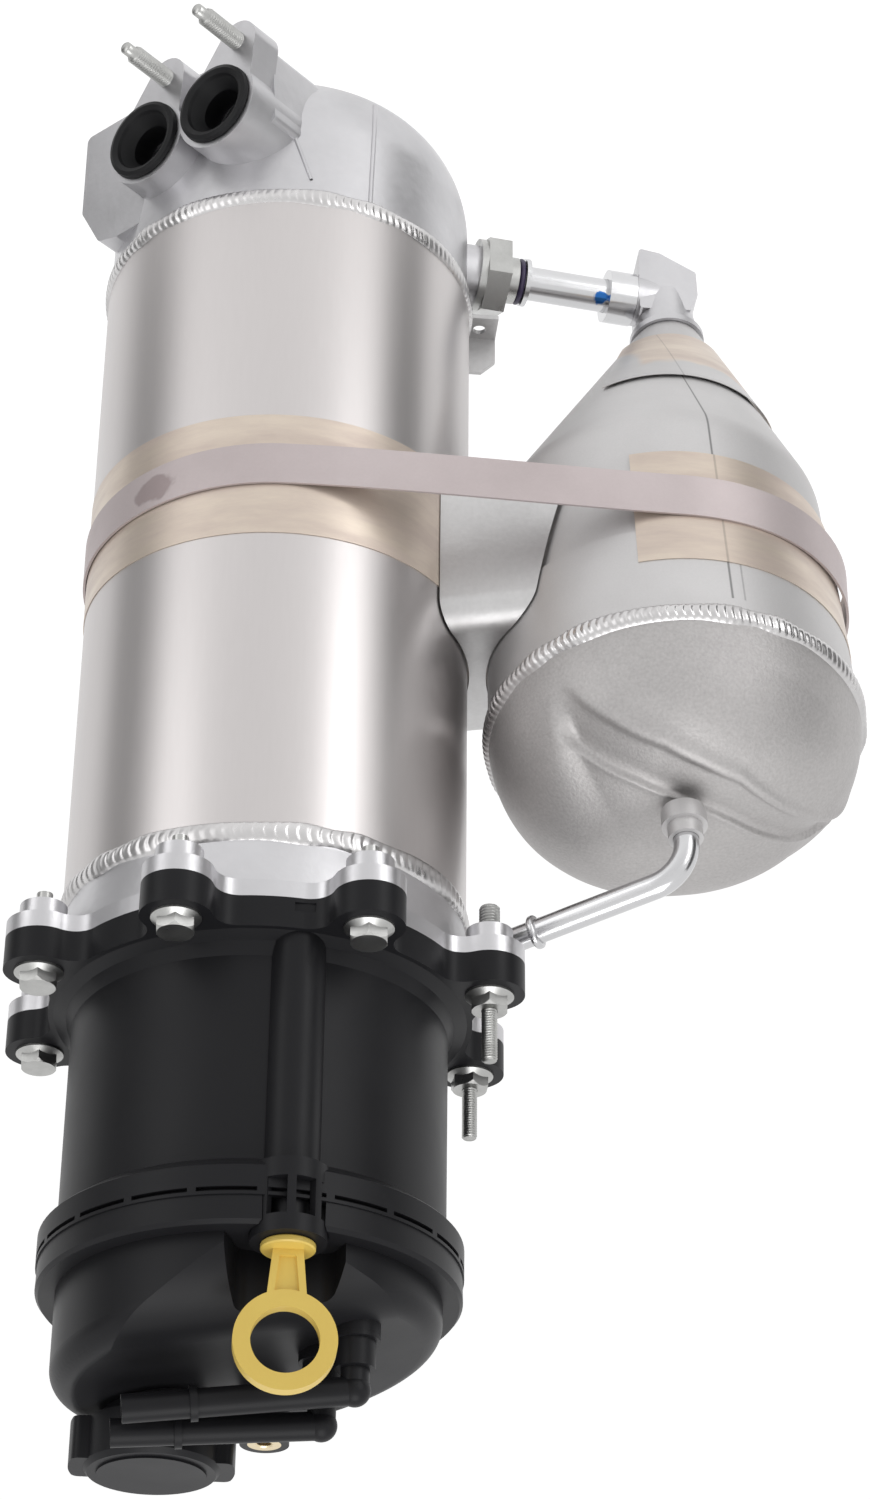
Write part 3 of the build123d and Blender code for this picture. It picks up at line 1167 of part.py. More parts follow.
NODES = {
    "tank_tube": make_tank_tube,
    "base_casting": make_base_casting,
    "base_weld": lambda: weld_ring(TUBE_R, TUBE_BOTTOM),
    "flange_ring": make_flange_ring,
    "flange_weld": lambda: weld_ring(TUBE_R, TUBE_TOP),
    "port_seal_left": lambda: make_port_seal(0),
    "port_seal_right": lambda: make_port_seal(1),
    "port_stud_left": lambda: make_port_stud(0),
    "port_stud_right": lambda: make_port_stud(1),
    "side_union": make_side_union,
    "union_oring": make_union_oring,
    "transfer_pipe": make_transfer_pipe,
    "pipe_collar": make_pipe_collar,
    "elbow_block": make_elbow_block,
    "neck_ring": make_neck_ring,
    "expansion_cone": make_expansion_cone,
    "expansion_skirt": make_expansion_skirt,
    "expansion_bowl": make_expansion_bowl,
    "expansion_weld": make_expansion_weld,
    "bowl_bung": make_bowl_bung,
    "drain_tube": make_drain_tube,
    "saddle_bracket": make_saddle,
    "strap_band": make_strap_band,
    "strap_buckle": make_strap_buckle,
    "strap_bolt": make_strap_bolt,
    "tank_tape": make_tank_tape,
    "expansion_tape": lambda: expansion_skin(*EXP_TAPE, EXP_TAPE_ARC),
    "neck_tape": lambda: expansion_skin(*NECK_TAPE, NECK_TAPE_ARC),
    "side_bracket": make_side_bracket,
    "head_housing": make_head_housing,
    "flange_seal": make_flange_seal,
    "compression_limiters": make_limiters,
    "flange_bolts": make_flange_bolts,
    "stud_bolts": make_stud_bolts,
    "head_cover": make_cover,
    "filler_cap": make_filler_cap,
    "cap_seal": make_cap_seal,
    "upper_breather": lambda: make_breather(UPPER_BREATHER),
    "lower_breather": lambda: make_breather(LOWER_BREATHER),
    "threaded_insert": make_insert,
    "dipstick_handle": make_dipstick_handle,
    "dipstick_seals": make_dipstick_seals,
    "dipstick_blade": make_dipstick_blade,
    "lower_baffle": lambda: make_baffle(BAFFLE_LOW_Z),
    "upper_baffle": lambda: make_baffle(BAFFLE_HIGH_Z),
    "riser_pipe": make_riser_pipe,
    "oil_separator": make_separator,
    "foot_strainer": make_strainer,
}

# The row's own origin: midway between the stud bolts, on the tops of their hexes
STUD_MIDDLE_X = BOLT_CIRCLE_R * cos(radians(FIRST_BOLT_AZIMUTH))
HEX_TOP_Z = PLASTIC_FLANGE_THICKNESS + HEAD_SEAT + HEX_HEIGHT
TO_ROW = Pos(-STUD_MIDDLE_X, 0, -HEX_TOP_Z)

os.makedirs("parts", exist_ok=True)
for name, make in NODES.items():
    solids = [TO_ROW * solid for solid in make().solids()]
    export_step(Compound(children=solids), f"parts/{name}.step")
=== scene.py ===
import bmesh
import bpy
import json
import math
from mathutils import Euler, Matrix, Vector


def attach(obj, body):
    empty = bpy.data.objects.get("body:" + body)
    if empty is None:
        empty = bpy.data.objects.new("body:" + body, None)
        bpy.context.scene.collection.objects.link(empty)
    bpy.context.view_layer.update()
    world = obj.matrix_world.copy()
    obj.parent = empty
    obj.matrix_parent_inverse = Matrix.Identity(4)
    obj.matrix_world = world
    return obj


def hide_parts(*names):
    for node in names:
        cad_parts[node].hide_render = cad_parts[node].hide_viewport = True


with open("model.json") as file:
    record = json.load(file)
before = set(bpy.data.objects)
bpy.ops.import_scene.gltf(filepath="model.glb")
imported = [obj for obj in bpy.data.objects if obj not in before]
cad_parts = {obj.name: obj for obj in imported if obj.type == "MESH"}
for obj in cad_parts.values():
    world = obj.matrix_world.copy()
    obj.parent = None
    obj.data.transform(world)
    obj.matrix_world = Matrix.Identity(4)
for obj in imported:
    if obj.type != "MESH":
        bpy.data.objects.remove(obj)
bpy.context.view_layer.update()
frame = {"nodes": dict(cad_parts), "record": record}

# Sizes are in millimetres in the tank's own frame: Z is the tall tank's axis, with 0 at the flange joint
TUBE_R = 76.0
TUBE_BOTTOM = -322.0
TUBE_TOP = -27.5
CASTING_R = TUBE_R - 1.0
CASTING_BOTTOM = TUBE_BOTTOM - 89.0
CASTING_CORNER_R = 50.0
BOLT_CIRCLE_R = TUBE_R + 12.3
STUD_AZIMUTH = math.radians(22.5)
STUD_X = BOLT_CIRCLE_R * math.cos(STUD_AZIMUTH)
STUD_Y = BOLT_CIRCLE_R * math.sin(STUD_AZIMUTH)
STUD_SEAT_Z = 18.55
SIDE_TANK_FOOT = (TUBE_R + 79.2, 20.2, -111.0)
SIDE_TANK_LEAN = (-9.1, 1.3)
BOWL_R = 72.4
BOWL_DEPTH = 55.3
BOWL_CORNER_R = 56.0

# The row frame, in metres, has its origin midway between the two studs, at the height of their seats
MM_PER_METRE = 1000
ROW_ORIGIN = Vector((STUD_X, 0.0, STUD_SEAT_Z))
TALL_TANK = Matrix.Identity(4)
SIDE_TANK = (
    Matrix.Translation(SIDE_TANK_FOOT)
    @ Matrix.Rotation(math.radians(SIDE_TANK_LEAN[0]), 4, "X")
    @ Matrix.Rotation(math.radians(SIDE_TANK_LEAN[1]), 4, "Y")
)


def row(x, y, z):
    """A point of the tank's own frame as metres in the row frame."""
    return (Vector((x, y, z)) - ROW_ORIGIN) / MM_PER_METRE


# Mesh helpers
def mesh_piece(name, points, faces, place=TALL_TANK):
    """Smooth mesh on the tank's body, from millimetre points in the frame of the given tank."""
    mesh = bpy.data.meshes.new(name)
    mesh.from_pydata([row(*(place @ Vector(p))) for p in points], [], faces)
    mesh.validate()
    for polygon in mesh.polygons:
        polygon.use_smooth = True
    piece = bpy.data.objects.new(name, mesh)
    bpy.context.scene.collection.objects.link(piece)
    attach(piece, "tank")
    return piece


def grid_faces(rows, columns):
    """Faces between rows of points that each close on themselves."""
    faces = []
    for i in range(rows - 1):
        here = i * columns
        above = here + columns
        for j in range(columns):
            k = (j + 1) % columns
            faces.append((here + j, here + k, above + k, above + j))
    return faces


def fan_faces(first, count, tip):
    """Triangles from a closed row of points to one point."""
    return [(first + j, first + (j + 1) % count, tip) for j in range(count)]


def circle(radius, count):
    """Points of a circle round the axis, as x and y."""
    angles = [2 * math.pi * j / count for j in range(count)]
    return [(radius * math.cos(a), radius * math.sin(a)) for a in angles]


def polyline(points, x):
    """Height at x of a line through the points."""
    if x <= points[0][0]:
        return points[0][1]
    for (x0, y0), (x1, y1) in zip(points, points[1:]):
        if x <= x1:
            return y0 + (y1 - y0) * (x - x0) / (x1 - x0)
    return points[-1][1]


def smooth_step(start, end, x):
    """0 before the start and 1 after the end, with a soft change between."""
    t = min(1.0, max(0.0, (x - start) / (end - start)))
    return t * t * (3 - 2 * t)


# Weld beads
WELD_POINTS_ACROSS = 11
WELD_POINTS_PER_RIPPLE = 9
WELD_SUNK = 0.25
RIPPLE_BEND = 0.55
RIPPLE_HEIGHT = 0.22
RIPPLE_SHARPNESS = 0.6
UNEVENNESS = 0.10
WAVES_PER_TURN = 13
DRIFTS_PER_TURN = 5


def weld_bead(name, node, radius, z, half_width, height, ripples, place=TALL_TANK):
    """Weld bead laid as overlapping round puddles, in place of the solid's plain ring."""
    around = ripples * WELD_POINTS_PER_RIPPLE
    points = []
    for i in range(WELD_POINTS_ACROSS):
        across = 2 * i / (WELD_POINTS_ACROSS - 1) - 1
        crown = math.sqrt(max(0.0, 1 - across * across))
        for j in range(around):
            angle = 2 * math.pi * j / around
            phase = (j / WELD_POINTS_PER_RIPPLE + RIPPLE_BEND * across * across) % 1.0
            ripple = 1 - RIPPLE_HEIGHT + RIPPLE_HEIGHT * math.sin(math.pi * phase ** RIPPLE_SHARPNESS)
            wobble = UNEVENNESS * math.sin(angle * WAVES_PER_TURN + 2 * math.sin(angle * DRIFTS_PER_TURN))
            r = radius - WELD_SUNK + (height + WELD_SUNK) * crown * (ripple + wobble)
            height_there = z + half_width * across * (1 + wobble)
            points.append((r * math.cos(angle), r * math.sin(angle), height_there))
    piece = mesh_piece(name, points, grid_faces(WELD_POINTS_ACROSS, around), place)
    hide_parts(node)
    return piece


# Screw threads, as outer radius and pitch
M6 = (3.0, 1.0)
M8 = (4.0, 1.25)
THREAD_SIDES = 20
THREAD_ROWS_PER_TURN = 8
THREAD_DEPTH = 0.6
POINT_CHAMFER = 0.5
UP = Vector((0, 0, 1))
DOWN = Vector((0, 0, -1))


def thread(name, foot, direction, length, screw, point=(0.0, 0.0)):
    """Ridged rod with a chamfered end, then a plain point of the given radius and length."""
    outer_r, pitch = screw
    point_r, point_length = point
    x_axis = direction.orthogonal().normalized()
    y_axis = direction.cross(x_axis)
    depth = THREAD_DEPTH * pitch
    points = []

    def add_turn(along, radius_at):
        """Add one turn of points round the rod, at a distance along it."""
        for j in range(THREAD_SIDES):
            share = j / THREAD_SIDES
            angle = 2 * math.pi * share
            side = x_axis * math.cos(angle) + y_axis * math.sin(angle)
            points.append(tuple(Vector(foot) + direction * along + side * radius_at(along, share)))

    def ridge_r(along, share):
        """Radius of the ridges, cut back by the chamfer at the end."""
        groove = depth * abs(2 * ((along / pitch - share) % 1.0) - 1)
        chamfer = along - length + depth
        return outer_r - max(groove, chamfer)

    rows = int(length / pitch * THREAD_ROWS_PER_TURN)
    for i in range(rows + 1):
        add_turn(length * i / rows, ridge_r)
    if point_length:
        end = length + point_length
        add_turn(length, lambda along, share: point_r)
        add_turn(end - POINT_CHAMFER, lambda along, share: point_r)
        add_turn(end, lambda along, share: point_r - POINT_CHAMFER)
    rings = len(points) // THREAD_SIDES
    points.append(tuple(Vector(foot) + direction * (length + point_length)))
    faces = grid_faces(rings, THREAD_SIDES)
    faces += fan_faces((rings - 1) * THREAD_SIDES, THREAD_SIDES, len(points) - 1)
    piece = mesh_piece(name, points, faces)
    return piece


# Pressed diagonal step of the bowl, seen along its axis: it falls from the upper ridge line to the lower
UPPER_RIDGE = [(-60, 48), (-34, 49), (-14.5, 47.3), (0, 42.5), (15.4, 35.7), (57, 0), (72, -13)]
LOWER_RIDGE = [
    (-60, 36), (-41.5, 34), (-24, 31.5), (-7.7, 26.5), (4, 20.5), (16.4, 13.5), (50, -9), (66, -21),
]
STEP_DEPTH = 6.8
STEP_EDGE = 0.35
STEP_EDGE_WIDTH = 0.10
STEP_REBOUND = 0.40
REBOUND_SPAN = (0.96, 1.10)
LIP_HEIGHT = 1.3
UPPER_LIP_OFFSET = 2.0
UPPER_LIP_WIDTH = 3.0
LOWER_LIP_WIDTH = 2.5
LOWER_LIP_SHARE = 0.7
LEFT_END_X = -54.0
LEFT_END_SLANT = 0.3
LEFT_END_WIDTH = 4.0
LEFT_END_WIDENING = 0.5
RIM_FADE = (60.0, 71.0)


def pressed(x, y):
    """Depth of the pressed step at a point of the bowl."""
    upper = polyline(UPPER_RIDGE, x)
    lower = polyline(LOWER_RIDGE, x)
    past = (upper - y) / (upper - lower)
    slope = min(1.0, max(0.0, past))
    fall = STEP_EDGE * smooth_step(0.0, STEP_EDGE_WIDTH, past) + (1 - STEP_EDGE) * slope
    rebound = 1.0 - STEP_REBOUND * smooth_step(*REBOUND_SPAN, past)
    upper_lip = math.exp(-(((upper - y + UPPER_LIP_OFFSET) / UPPER_LIP_WIDTH) ** 2))
    lower_lip = math.exp(-(((lower - y) / LOWER_LIP_WIDTH) ** 2))
    lips = LIP_HEIGHT * (upper_lip + LOWER_LIP_SHARE * lower_lip)
    fade = LEFT_END_WIDTH + LEFT_END_WIDENING * max(0.0, lower - y)
    left = smooth_step(LEFT_END_X - fade, LEFT_END_X + fade, x - LEFT_END_SLANT * (upper - y))
    rim = 1 - smooth_step(*RIM_FADE, math.hypot(x, y))
    return (STEP_DEPTH * fall * rebound - lips) * left * rim


BOWL_ROWS = 120
BOWL_COLUMNS = 300
BOWL_MIDDLE_RINGS = 12


def bowl():
    """Pressed bowl of the side tank: a round corner, a flat middle and the step across both."""
    middle_r = BOWL_R - BOWL_CORNER_R
    points = []
    for i in range(BOWL_ROWS + 1):
        slope = math.pi / 2 * i / BOWL_ROWS
        r = middle_r + BOWL_CORNER_R * math.cos(slope)
        z = BOWL_DEPTH - BOWL_CORNER_R + BOWL_CORNER_R * math.sin(slope)
        for x, y in circle(r, BOWL_COLUMNS):
            dent = pressed(x, y)
            shrink = 1 - dent * math.cos(slope) / max(r, 1)
            points.append((x * shrink, y * shrink, z - dent * math.sin(slope)))
    for k in range(1, BOWL_MIDDLE_RINGS):
        for x, y in circle(middle_r * (1 - k / BOWL_MIDDLE_RINGS), BOWL_COLUMNS):
            points.append((x, y, BOWL_DEPTH - pressed(x, y)))
    points.append((0, 0, BOWL_DEPTH - pressed(0, 0)))
    rings = BOWL_ROWS + BOWL_MIDDLE_RINGS
    faces = grid_faces(rings, BOWL_COLUMNS)
    faces += fan_faces((rings - 1) * BOWL_COLUMNS, BOWL_COLUMNS, len(points) - 1)
    piece = mesh_piece("bowl_pressed", points, faces, SIDE_TANK)
    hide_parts("expansion_bowl")
    return piece


# Heads of the two stud bolts, cut where their threaded ends begin
STUD_CUT_Z = 18.6
SHANK_CUT_Z = -14.2


def stud_bolt_heads():
    """The stud bolts without their plain ends, which the threads stand for."""
    mesh = frame["nodes"]["stud_bolts"].data.copy()
    mesh.materials.clear()
    piece = bpy.data.objects.new("stud_bolt_heads", mesh)
    bpy.context.scene.collection.objects.link(piece)
    top = row(0, 0, STUD_CUT_Z).z
    foot = row(0, 0, SHANK_CUT_Z).z
    work = bmesh.new()
    work.from_mesh(mesh)
    ends = [v for v in work.verts if v.co.z > top or v.co.z < foot]
    bmesh.ops.delete(work, geom=ends, context="VERTS")
    work.to_mesh(mesh)
    work.free()
    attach(piece, "tank")
    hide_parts("stud_bolts")
    return piece


# Flash lines of the casting
FLASH_POINTS = 16
FLASH_SIDES = 10
FLASH_SUNK = 0.1


def casting_radius(z):
    """Outer radius of the casting at a height, round at its bottom corner."""
    drop = min(CASTING_CORNER_R, max(0.0, CASTING_BOTTOM + CASTING_CORNER_R - z))
    return CASTING_R - CASTING_CORNER_R + math.sqrt(CASTING_CORNER_R ** 2 - drop ** 2)


def flash_line(name, low, high, radius):
    """Low rounded rib on the front of the casting between two points, each given as x and z."""
    spine = []
    for i in range(FLASH_POINTS):
        x, z = Vector(low).lerp(Vector(high), i / (FLASH_POINTS - 1))
        front = math.sqrt(casting_radius(z) ** 2 - x * x) - FLASH_SUNK
        spine.append(Vector((x, front, z)))
    points = []
    for i, here in enumerate(spine):
        along = (spine[min(len(spine) - 1, i + 1)] - spine[max(0, i - 1)]).normalized()
        x_axis = along.orthogonal().normalized()
        y_axis = along.cross(x_axis)
        points += [tuple(here + x_axis * u + y_axis * v) for u, v in circle(radius, FLASH_SIDES)]
    piece = mesh_piece(name, points, grid_faces(FLASH_POINTS, FLASH_SIDES))
    return piece


# Node helpers, with the places of a Mix node's colour sockets
COLOUR_A = 6
COLOUR_B = 7
COLOUR_RESULT = 2


def set_inputs(tree, node, values):
    """Link the sockets and write the numbers among the values to a node's inputs."""
    for name, value in values.items():
        if isinstance(value, bpy.types.NodeSocket):
            tree.links.new(value, node.inputs[name])
        else:
            node.inputs[name].default_value = value


def math_node(tree, operation, *values):
    """Output of a Math node whose inputs are numbers or sockets."""
    node = tree.nodes.new("ShaderNodeMath")
    node.operation = operation
    set_inputs(tree, node, dict(enumerate(values)))
    return node.outputs[0]


def vector_node(tree, operation, *values):
    """Vector Math node whose inputs are vectors or sockets."""
    node = tree.nodes.new("ShaderNodeVectorMath")
    node.operation = operation
    set_inputs(tree, node, dict(enumerate(values)))
    return node


def noise_node(tree, **values):
    """Factor of a Noise Texture node, with its inputs given by name."""
    node = tree.nodes.new("ShaderNodeTexNoise")
    set_inputs(tree, node, values)
    return node.outputs["Fac"]


def range_node(tree, value, start, end, low=0.0, high=1.0, kind="LINEAR"):
    """Value carried over from one range to another."""
    node = tree.nodes.new("ShaderNodeMapRange")
    node.interpolation_type = kind
    ends = {"From Min": start, "From Max": end, "To Min": low, "To Max": high}
    set_inputs(tree, node, {"Value": value, **ends})
    return node.outputs[0]


def colour_mix(tree, kind, factor, first, second):
    """Colour of a Mix node."""
    node = tree.nodes.new("ShaderNodeMix")
    node.data_type = "RGBA"
    node.blend_type = kind
    set_inputs(tree, node, {"Factor": factor, COLOUR_A: first, COLOUR_B: second})
    return node.outputs[COLOUR_RESULT]


def new_group(name, inputs, outputs):
    """Node group with named sockets, and its input and output nodes' sockets."""
    tree = bpy.data.node_groups.new(name, "ShaderNodeTree")
    for in_out, sockets in (("INPUT", inputs), ("OUTPUT", outputs)):
        for label, kind in sockets.items():
            tree.interface.new_socket(name=label, in_out=in_out, socket_type="NodeSocket" + kind)
    return tree, tree.nodes.new("NodeGroupInput").outputs, tree.nodes.new("NodeGroupOutput").inputs


def place_group(m, group, values):
    """A node group in a material with that material's own values."""
    node = m.node_tree.nodes.new("ShaderNodeGroup")
    node.node_tree = group
    set_inputs(m.node_tree, node, values)
    return node


CLOUD_SPAN = (0.35, 0.72)
GLOSS_SPAN = (0.3, 0.7)
GRAIN_CONTRAST = 0.7
SEAM_CORE = 0.3
PATCH_CORE = 0.75


def surface_group():
    """Uneven tone, gloss and fine relief, shared by all the finishes."""
    inputs = {"Tone": "Color", "Dirt": "Color", "Stretch": "Vector"}
    inputs |= {"Dirt amount": "Float", "Cloud scale": "Float", "Grain scale": "Float"}
    inputs |= {"Grain amount": "Float", "Gloss low": "Float", "Gloss high": "Float"}
    tree, given, put_out = new_group(
        "of_surface", inputs, {"Color": "Color", "Roughness": "Float", "Height": "Float"}
    )
    at = tree.nodes.new("ShaderNodeTexCoord").outputs["Object"]
    stretched = vector_node(tree, "MULTIPLY", at, given["Stretch"]).outputs["Vector"]
    cloud = noise_node(tree, Vector=stretched, Scale=given["Cloud scale"], Detail=6, Roughness=0.6)
    grain = noise_node(tree, Vector=stretched, Scale=given["Grain scale"], Detail=3)
    dirty = math_node(tree, "MULTIPLY", range_node(tree, cloud, *CLOUD_SPAN), given["Dirt amount"])
    tone = colour_mix(tree, "MIX", dirty, given["Tone"], given["Dirt"])
    speck = math_node(tree, "MULTIPLY_ADD", grain, given["Grain amount"], 0.5)
    gloss = range_node(tree, cloud, *GLOSS_SPAN, given["Gloss low"], given["Gloss high"])
    tree.links.new(colour_mix(tree, "SOFT_LIGHT", GRAIN_CONTRAST, tone, speck), put_out["Color"])
    tree.links.new(gloss, put_out["Roughness"])
    tree.links.new(grain, put_out["Height"])
    return tree


def seam_group():
    """Mask of a thin line along a tank's axis, between two heights and at one azimuth."""
    inputs = {"Place": "Vector", "Turn": "Vector", "Azimuth": "Float", "Half width": "Float"}
    inputs |= {"Middle": "Float", "Half length": "Float"}
    tree, given, put_out = new_group("of_seam", inputs, {"Mask": "Float"})
    at = tree.nodes.new("ShaderNodeTexCoord").outputs["Object"]
    from_foot = vector_node(tree, "SUBTRACT", at, given["Place"]).outputs["Vector"]
    turn = tree.nodes.new("ShaderNodeVectorRotate")
    turn.rotation_type = "EULER_XYZ"
    set_inputs(tree, turn, {"Vector": from_foot, "Rotation": given["Turn"]})
    split = tree.nodes.new("ShaderNodeSeparateXYZ")
    set_inputs(tree, split, {"Vector": turn.outputs["Vector"]})
    azimuth = math_node(tree, "ARCTAN2", split.outputs["Y"], split.outputs["X"])
    off = math_node(tree, "ABSOLUTE", math_node(tree, "SUBTRACT", azimuth, given["Azimuth"]))
    core = math_node(tree, "MULTIPLY", given["Half width"], SEAM_CORE)
    near = range_node(tree, off, given["Half width"], core, kind="SMOOTHSTEP")
    span = math_node(tree, "COMPARE", split.outputs["Z"], given["Middle"], given["Half length"])
    tree.links.new(math_node(tree, "MULTIPLY", near, span), put_out["Mask"])
    return tree


def patch_group():
    """Mask of a ragged patch round a place, with its own reach along each axis."""
    inputs = {"Place": "Vector", "Reach": "Vector", "Raggedness": "Float", "Edge scale": "Float"}
    tree, given, put_out = new_group("of_patch", inputs, {"Mask": "Float"})
    at = tree.nodes.new("ShaderNodeTexCoord").outputs["Object"]
    from_place = vector_node(tree, "SUBTRACT", at, given["Place"]).outputs["Vector"]
    share = vector_node(tree, "DIVIDE", from_place, given["Reach"]).outputs["Vector"]
    distance = vector_node(tree, "LENGTH", share).outputs["Value"]
    noise = noise_node(tree, Vector=at, Scale=given["Edge scale"])
    ragged = math_node(tree, "MULTIPLY", math_node(tree, "SUBTRACT", noise, 0.5), given["Raggedness"])
    edge = math_node(tree, "ADD", distance, ragged)
    tree.links.new(range_node(tree, edge, 1.0, PATCH_CORE, kind="SMOOTHSTEP"), put_out["Mask"])
    return tree


SURFACE = surface_group()
SEAM = seam_group()
PATCH = patch_group()
FINISHES = {}


def finish(name, tone, dirt, metallic, gloss, dirt_amount=0.3, cloud=18.0, grain=900.0, grain_amount=0.1,
           stretch=(1, 1, 1), bump=0.0, bump_depth=0.0002, specular=0.5):
    """Material of the given tone that darkens in clouds towards its dirt, with gloss as a roughness range."""
    m = bpy.data.materials.new(name)
    m.use_nodes = True
    tree = m.node_tree
    shader = tree.nodes["Principled BSDF"]
    surface = place_group(m, SURFACE, {
        "Tone": (*tone, 1),
        "Dirt": (*dirt, 1),
        "Dirt amount": dirt_amount,
        "Cloud scale": cloud,
        "Grain scale": grain,
        "Grain amount": grain_amount,
        "Stretch": stretch,
        "Gloss low": gloss[0],
        "Gloss high": gloss[1],
    })
    set_inputs(tree, shader, {
        "Base Color": surface.outputs["Color"],
        "Roughness": surface.outputs["Roughness"],
        "Metallic": metallic,
        "Specular IOR Level": specular,
    })
    if bump:
        relief = tree.nodes.new("ShaderNodeBump")
        height = surface.outputs["Height"]
        set_inputs(tree, relief, {"Strength": bump, "Distance": bump_depth, "Height": height})
        tree.links.new(relief.outputs["Normal"], shader.inputs["Normal"])
    FINISHES[name] = m
    return m


def tint(m, mask, tone, kind):
    """Lay a tone over a material's base colour where the mask is."""
    base = m.node_tree.nodes["Principled BSDF"].inputs["Base Color"]
    mixed = colour_mix(m.node_tree, kind, mask, base.links[0].from_socket, (*tone, 1))
    m.node_tree.links.new(mixed, base)


def side_tank_seam(m, azimuth, half_width, low, high, tone):
    """Darker seam along the side tank; its azimuth and half width are degrees about the tank's axis."""
    seam = place_group(m, SEAM, {
        "Place": row(*SIDE_TANK.translation),
        "Turn": tuple(SIDE_TANK.to_3x3().inverted().to_euler("XYZ")),
        "Azimuth": math.radians(azimuth),
        "Half width": math.radians(half_width),
        "Middle": (low + high) / 2 / MM_PER_METRE,
        "Half length": (high - low) / 2 / MM_PER_METRE,
    })
    tint(m, seam.outputs["Mask"], (tone, tone, tone), "MULTIPLY")


def patch(m, place, reach, tone, kind="MULTIPLY", raggedness=0.9, edge_scale=160.0):
    """Patch of another tone round a place, with its reach along the axes."""
    area = place_group(m, PATCH, {
        "Place": row(*place),
        "Reach": [value / MM_PER_METRE for value in reach],
        "Raggedness": raggedness,
        "Edge scale": edge_scale,
    })
    tint(m, area.outputs["Mask"], tone, kind)


# Drawn tube, with faint marks along it
finish(
    "tank_aluminium", tone=(0.56, 0.535, 0.53), dirt=(0.46, 0.435, 0.435), metallic=1.0, gloss=(0.30, 0.40),
    dirt_amount=0.35, cloud=9.0, grain=700.0, grain_amount=0.06, stretch=(1, 1, 0.12), bump=0.05,
    bump_depth=0.00005,
)

# Cast foot, flange ring, elbow and neck ring
cast_aluminium = finish(
    "cast_aluminium", tone=(0.558, 0.553, 0.567), dirt=(0.396, 0.392, 0.405), metallic=1.0,
    gloss=(0.30, 0.46), dirt_amount=0.4, cloud=22.0, grain=260.0, grain_amount=0.08, bump=0.22,
    bump_depth=0.0004,
)

# Weld metal
weld_metal = finish(
    "weld_bead", tone=(0.60, 0.59, 0.59), dirt=(0.36, 0.35, 0.35), metallic=1.0, gloss=(0.22, 0.38),
    dirt_amount=0.4, cloud=60.0, grain=900.0, grain_amount=0.1, bump=0.2, bump_depth=0.0002,
)

# Matt sheet of the side tank's cone and skirt, with its two seams, and its bung
spun_aluminium = finish(
    "spun_aluminium", tone=(0.561, 0.551, 0.551), dirt=(0.451, 0.442, 0.442), metallic=0.9,
    gloss=(0.46, 0.58), dirt_amount=0.4, cloud=12.0, grain=1300.0, grain_amount=0.16, bump=0.18,
    bump_depth=0.0001,
)
side_tank_seam(spun_aluminium, azimuth=80.5, half_width=0.55, low=-196, high=-9, tone=0.45)
side_tank_seam(spun_aluminium, azimuth=76.5, half_width=0.45, low=-44, high=-9, tone=0.7)

# Blasted bowl of the side tank
blasted_bowl = finish(
    "blasted_bowl", tone=(0.384, 0.371, 0.367), dirt=(0.294, 0.282, 0.282), metallic=0.85, gloss=(0.48, 0.62),
    dirt_amount=0.45, cloud=16.0, grain=850.0, grain_amount=0.5, bump=0.5, bump_depth=0.0003,
)

# Bent sheet of the saddle and the side bracket
finish(
    "formed_sheet", tone=(0.531, 0.525, 0.525), dirt=(0.407, 0.401, 0.401), metallic=0.95, gloss=(0.38, 0.50),
    dirt_amount=0.35, cloud=25.0, grain=500.0, grain_amount=0.25, bump=0.35, bump_depth=0.0002,
)

# Strap and buckle, with the stain and the two blotches on the strap's front
strap_metal = finish(
    "strap_metal", tone=(0.538, 0.474, 0.474), dirt=(0.398, 0.345, 0.345), metallic=0.7, gloss=(0.45, 0.60),
    dirt_amount=0.4, cloud=14.0, grain=900.0, grain_amount=0.1, bump=0.1, bump_depth=0.0001,
)
patch(strap_metal, place=(-51.5, 58.0, -186.0), reach=(11, 11, 6.5), tone=(0.70, 0.66, 0.66))
patch(strap_metal, place=(51.0, 58.5, -187.0), reach=(6, 7, 6), tone=(0.80, 0.80, 0.84))
patch(strap_metal, place=(60.0, 62.0, -184.5), reach=(4, 5, 5), tone=(1.22, 1.20, 1.20))

# Zinc-plated screws, studs and union
zinc_steel = finish(
    "zinc_steel", tone=(0.44, 0.44, 0.43), dirt=(0.27, 0.27, 0.26), metallic=1.0, gloss=(0.26, 0.42),
    dirt_amount=0.45, cloud=90.0, grain=1500.0, grain_amount=0.15, bump=0.1, bump_depth=0.0001,
)

# Bare steel of the sleeves and the dipstick's blade
finish(
    "plain_steel", tone=(0.48, 0.48, 0.49), dirt=(0.35, 0.35, 0.35), metallic=1.0, gloss=(0.30, 0.40),
)

# Bright pipes, with the blue paint mark near the transfer pipe's end
bright_tube = finish(
    "bright_tube", tone=(0.60, 0.60, 0.61), dirt=(0.42, 0.42, 0.43), metallic=1.0, gloss=(0.14, 0.24),
    dirt_amount=0.25, cloud=30.0,
)
patch(
    bright_tube, place=(134.6, -8.5, -349.5), reach=(4.0, 4.0, 2.6), tone=(0.03, 0.14, 0.42), kind="MIX",
    raggedness=1.2, edge_scale=420.0,
)

# Moulded black plastic of the head, cover, cap and breathers
finish(
    "black_plastic", tone=(0.0105, 0.0105, 0.012), dirt=(0.015, 0.015, 0.017), metallic=0.0,
    gloss=(0.36, 0.48), dirt_amount=0.5, cloud=14.0, grain=1100.0, grain_amount=0.05, bump=0.12,
    bump_depth=0.00008, specular=0.17,
)

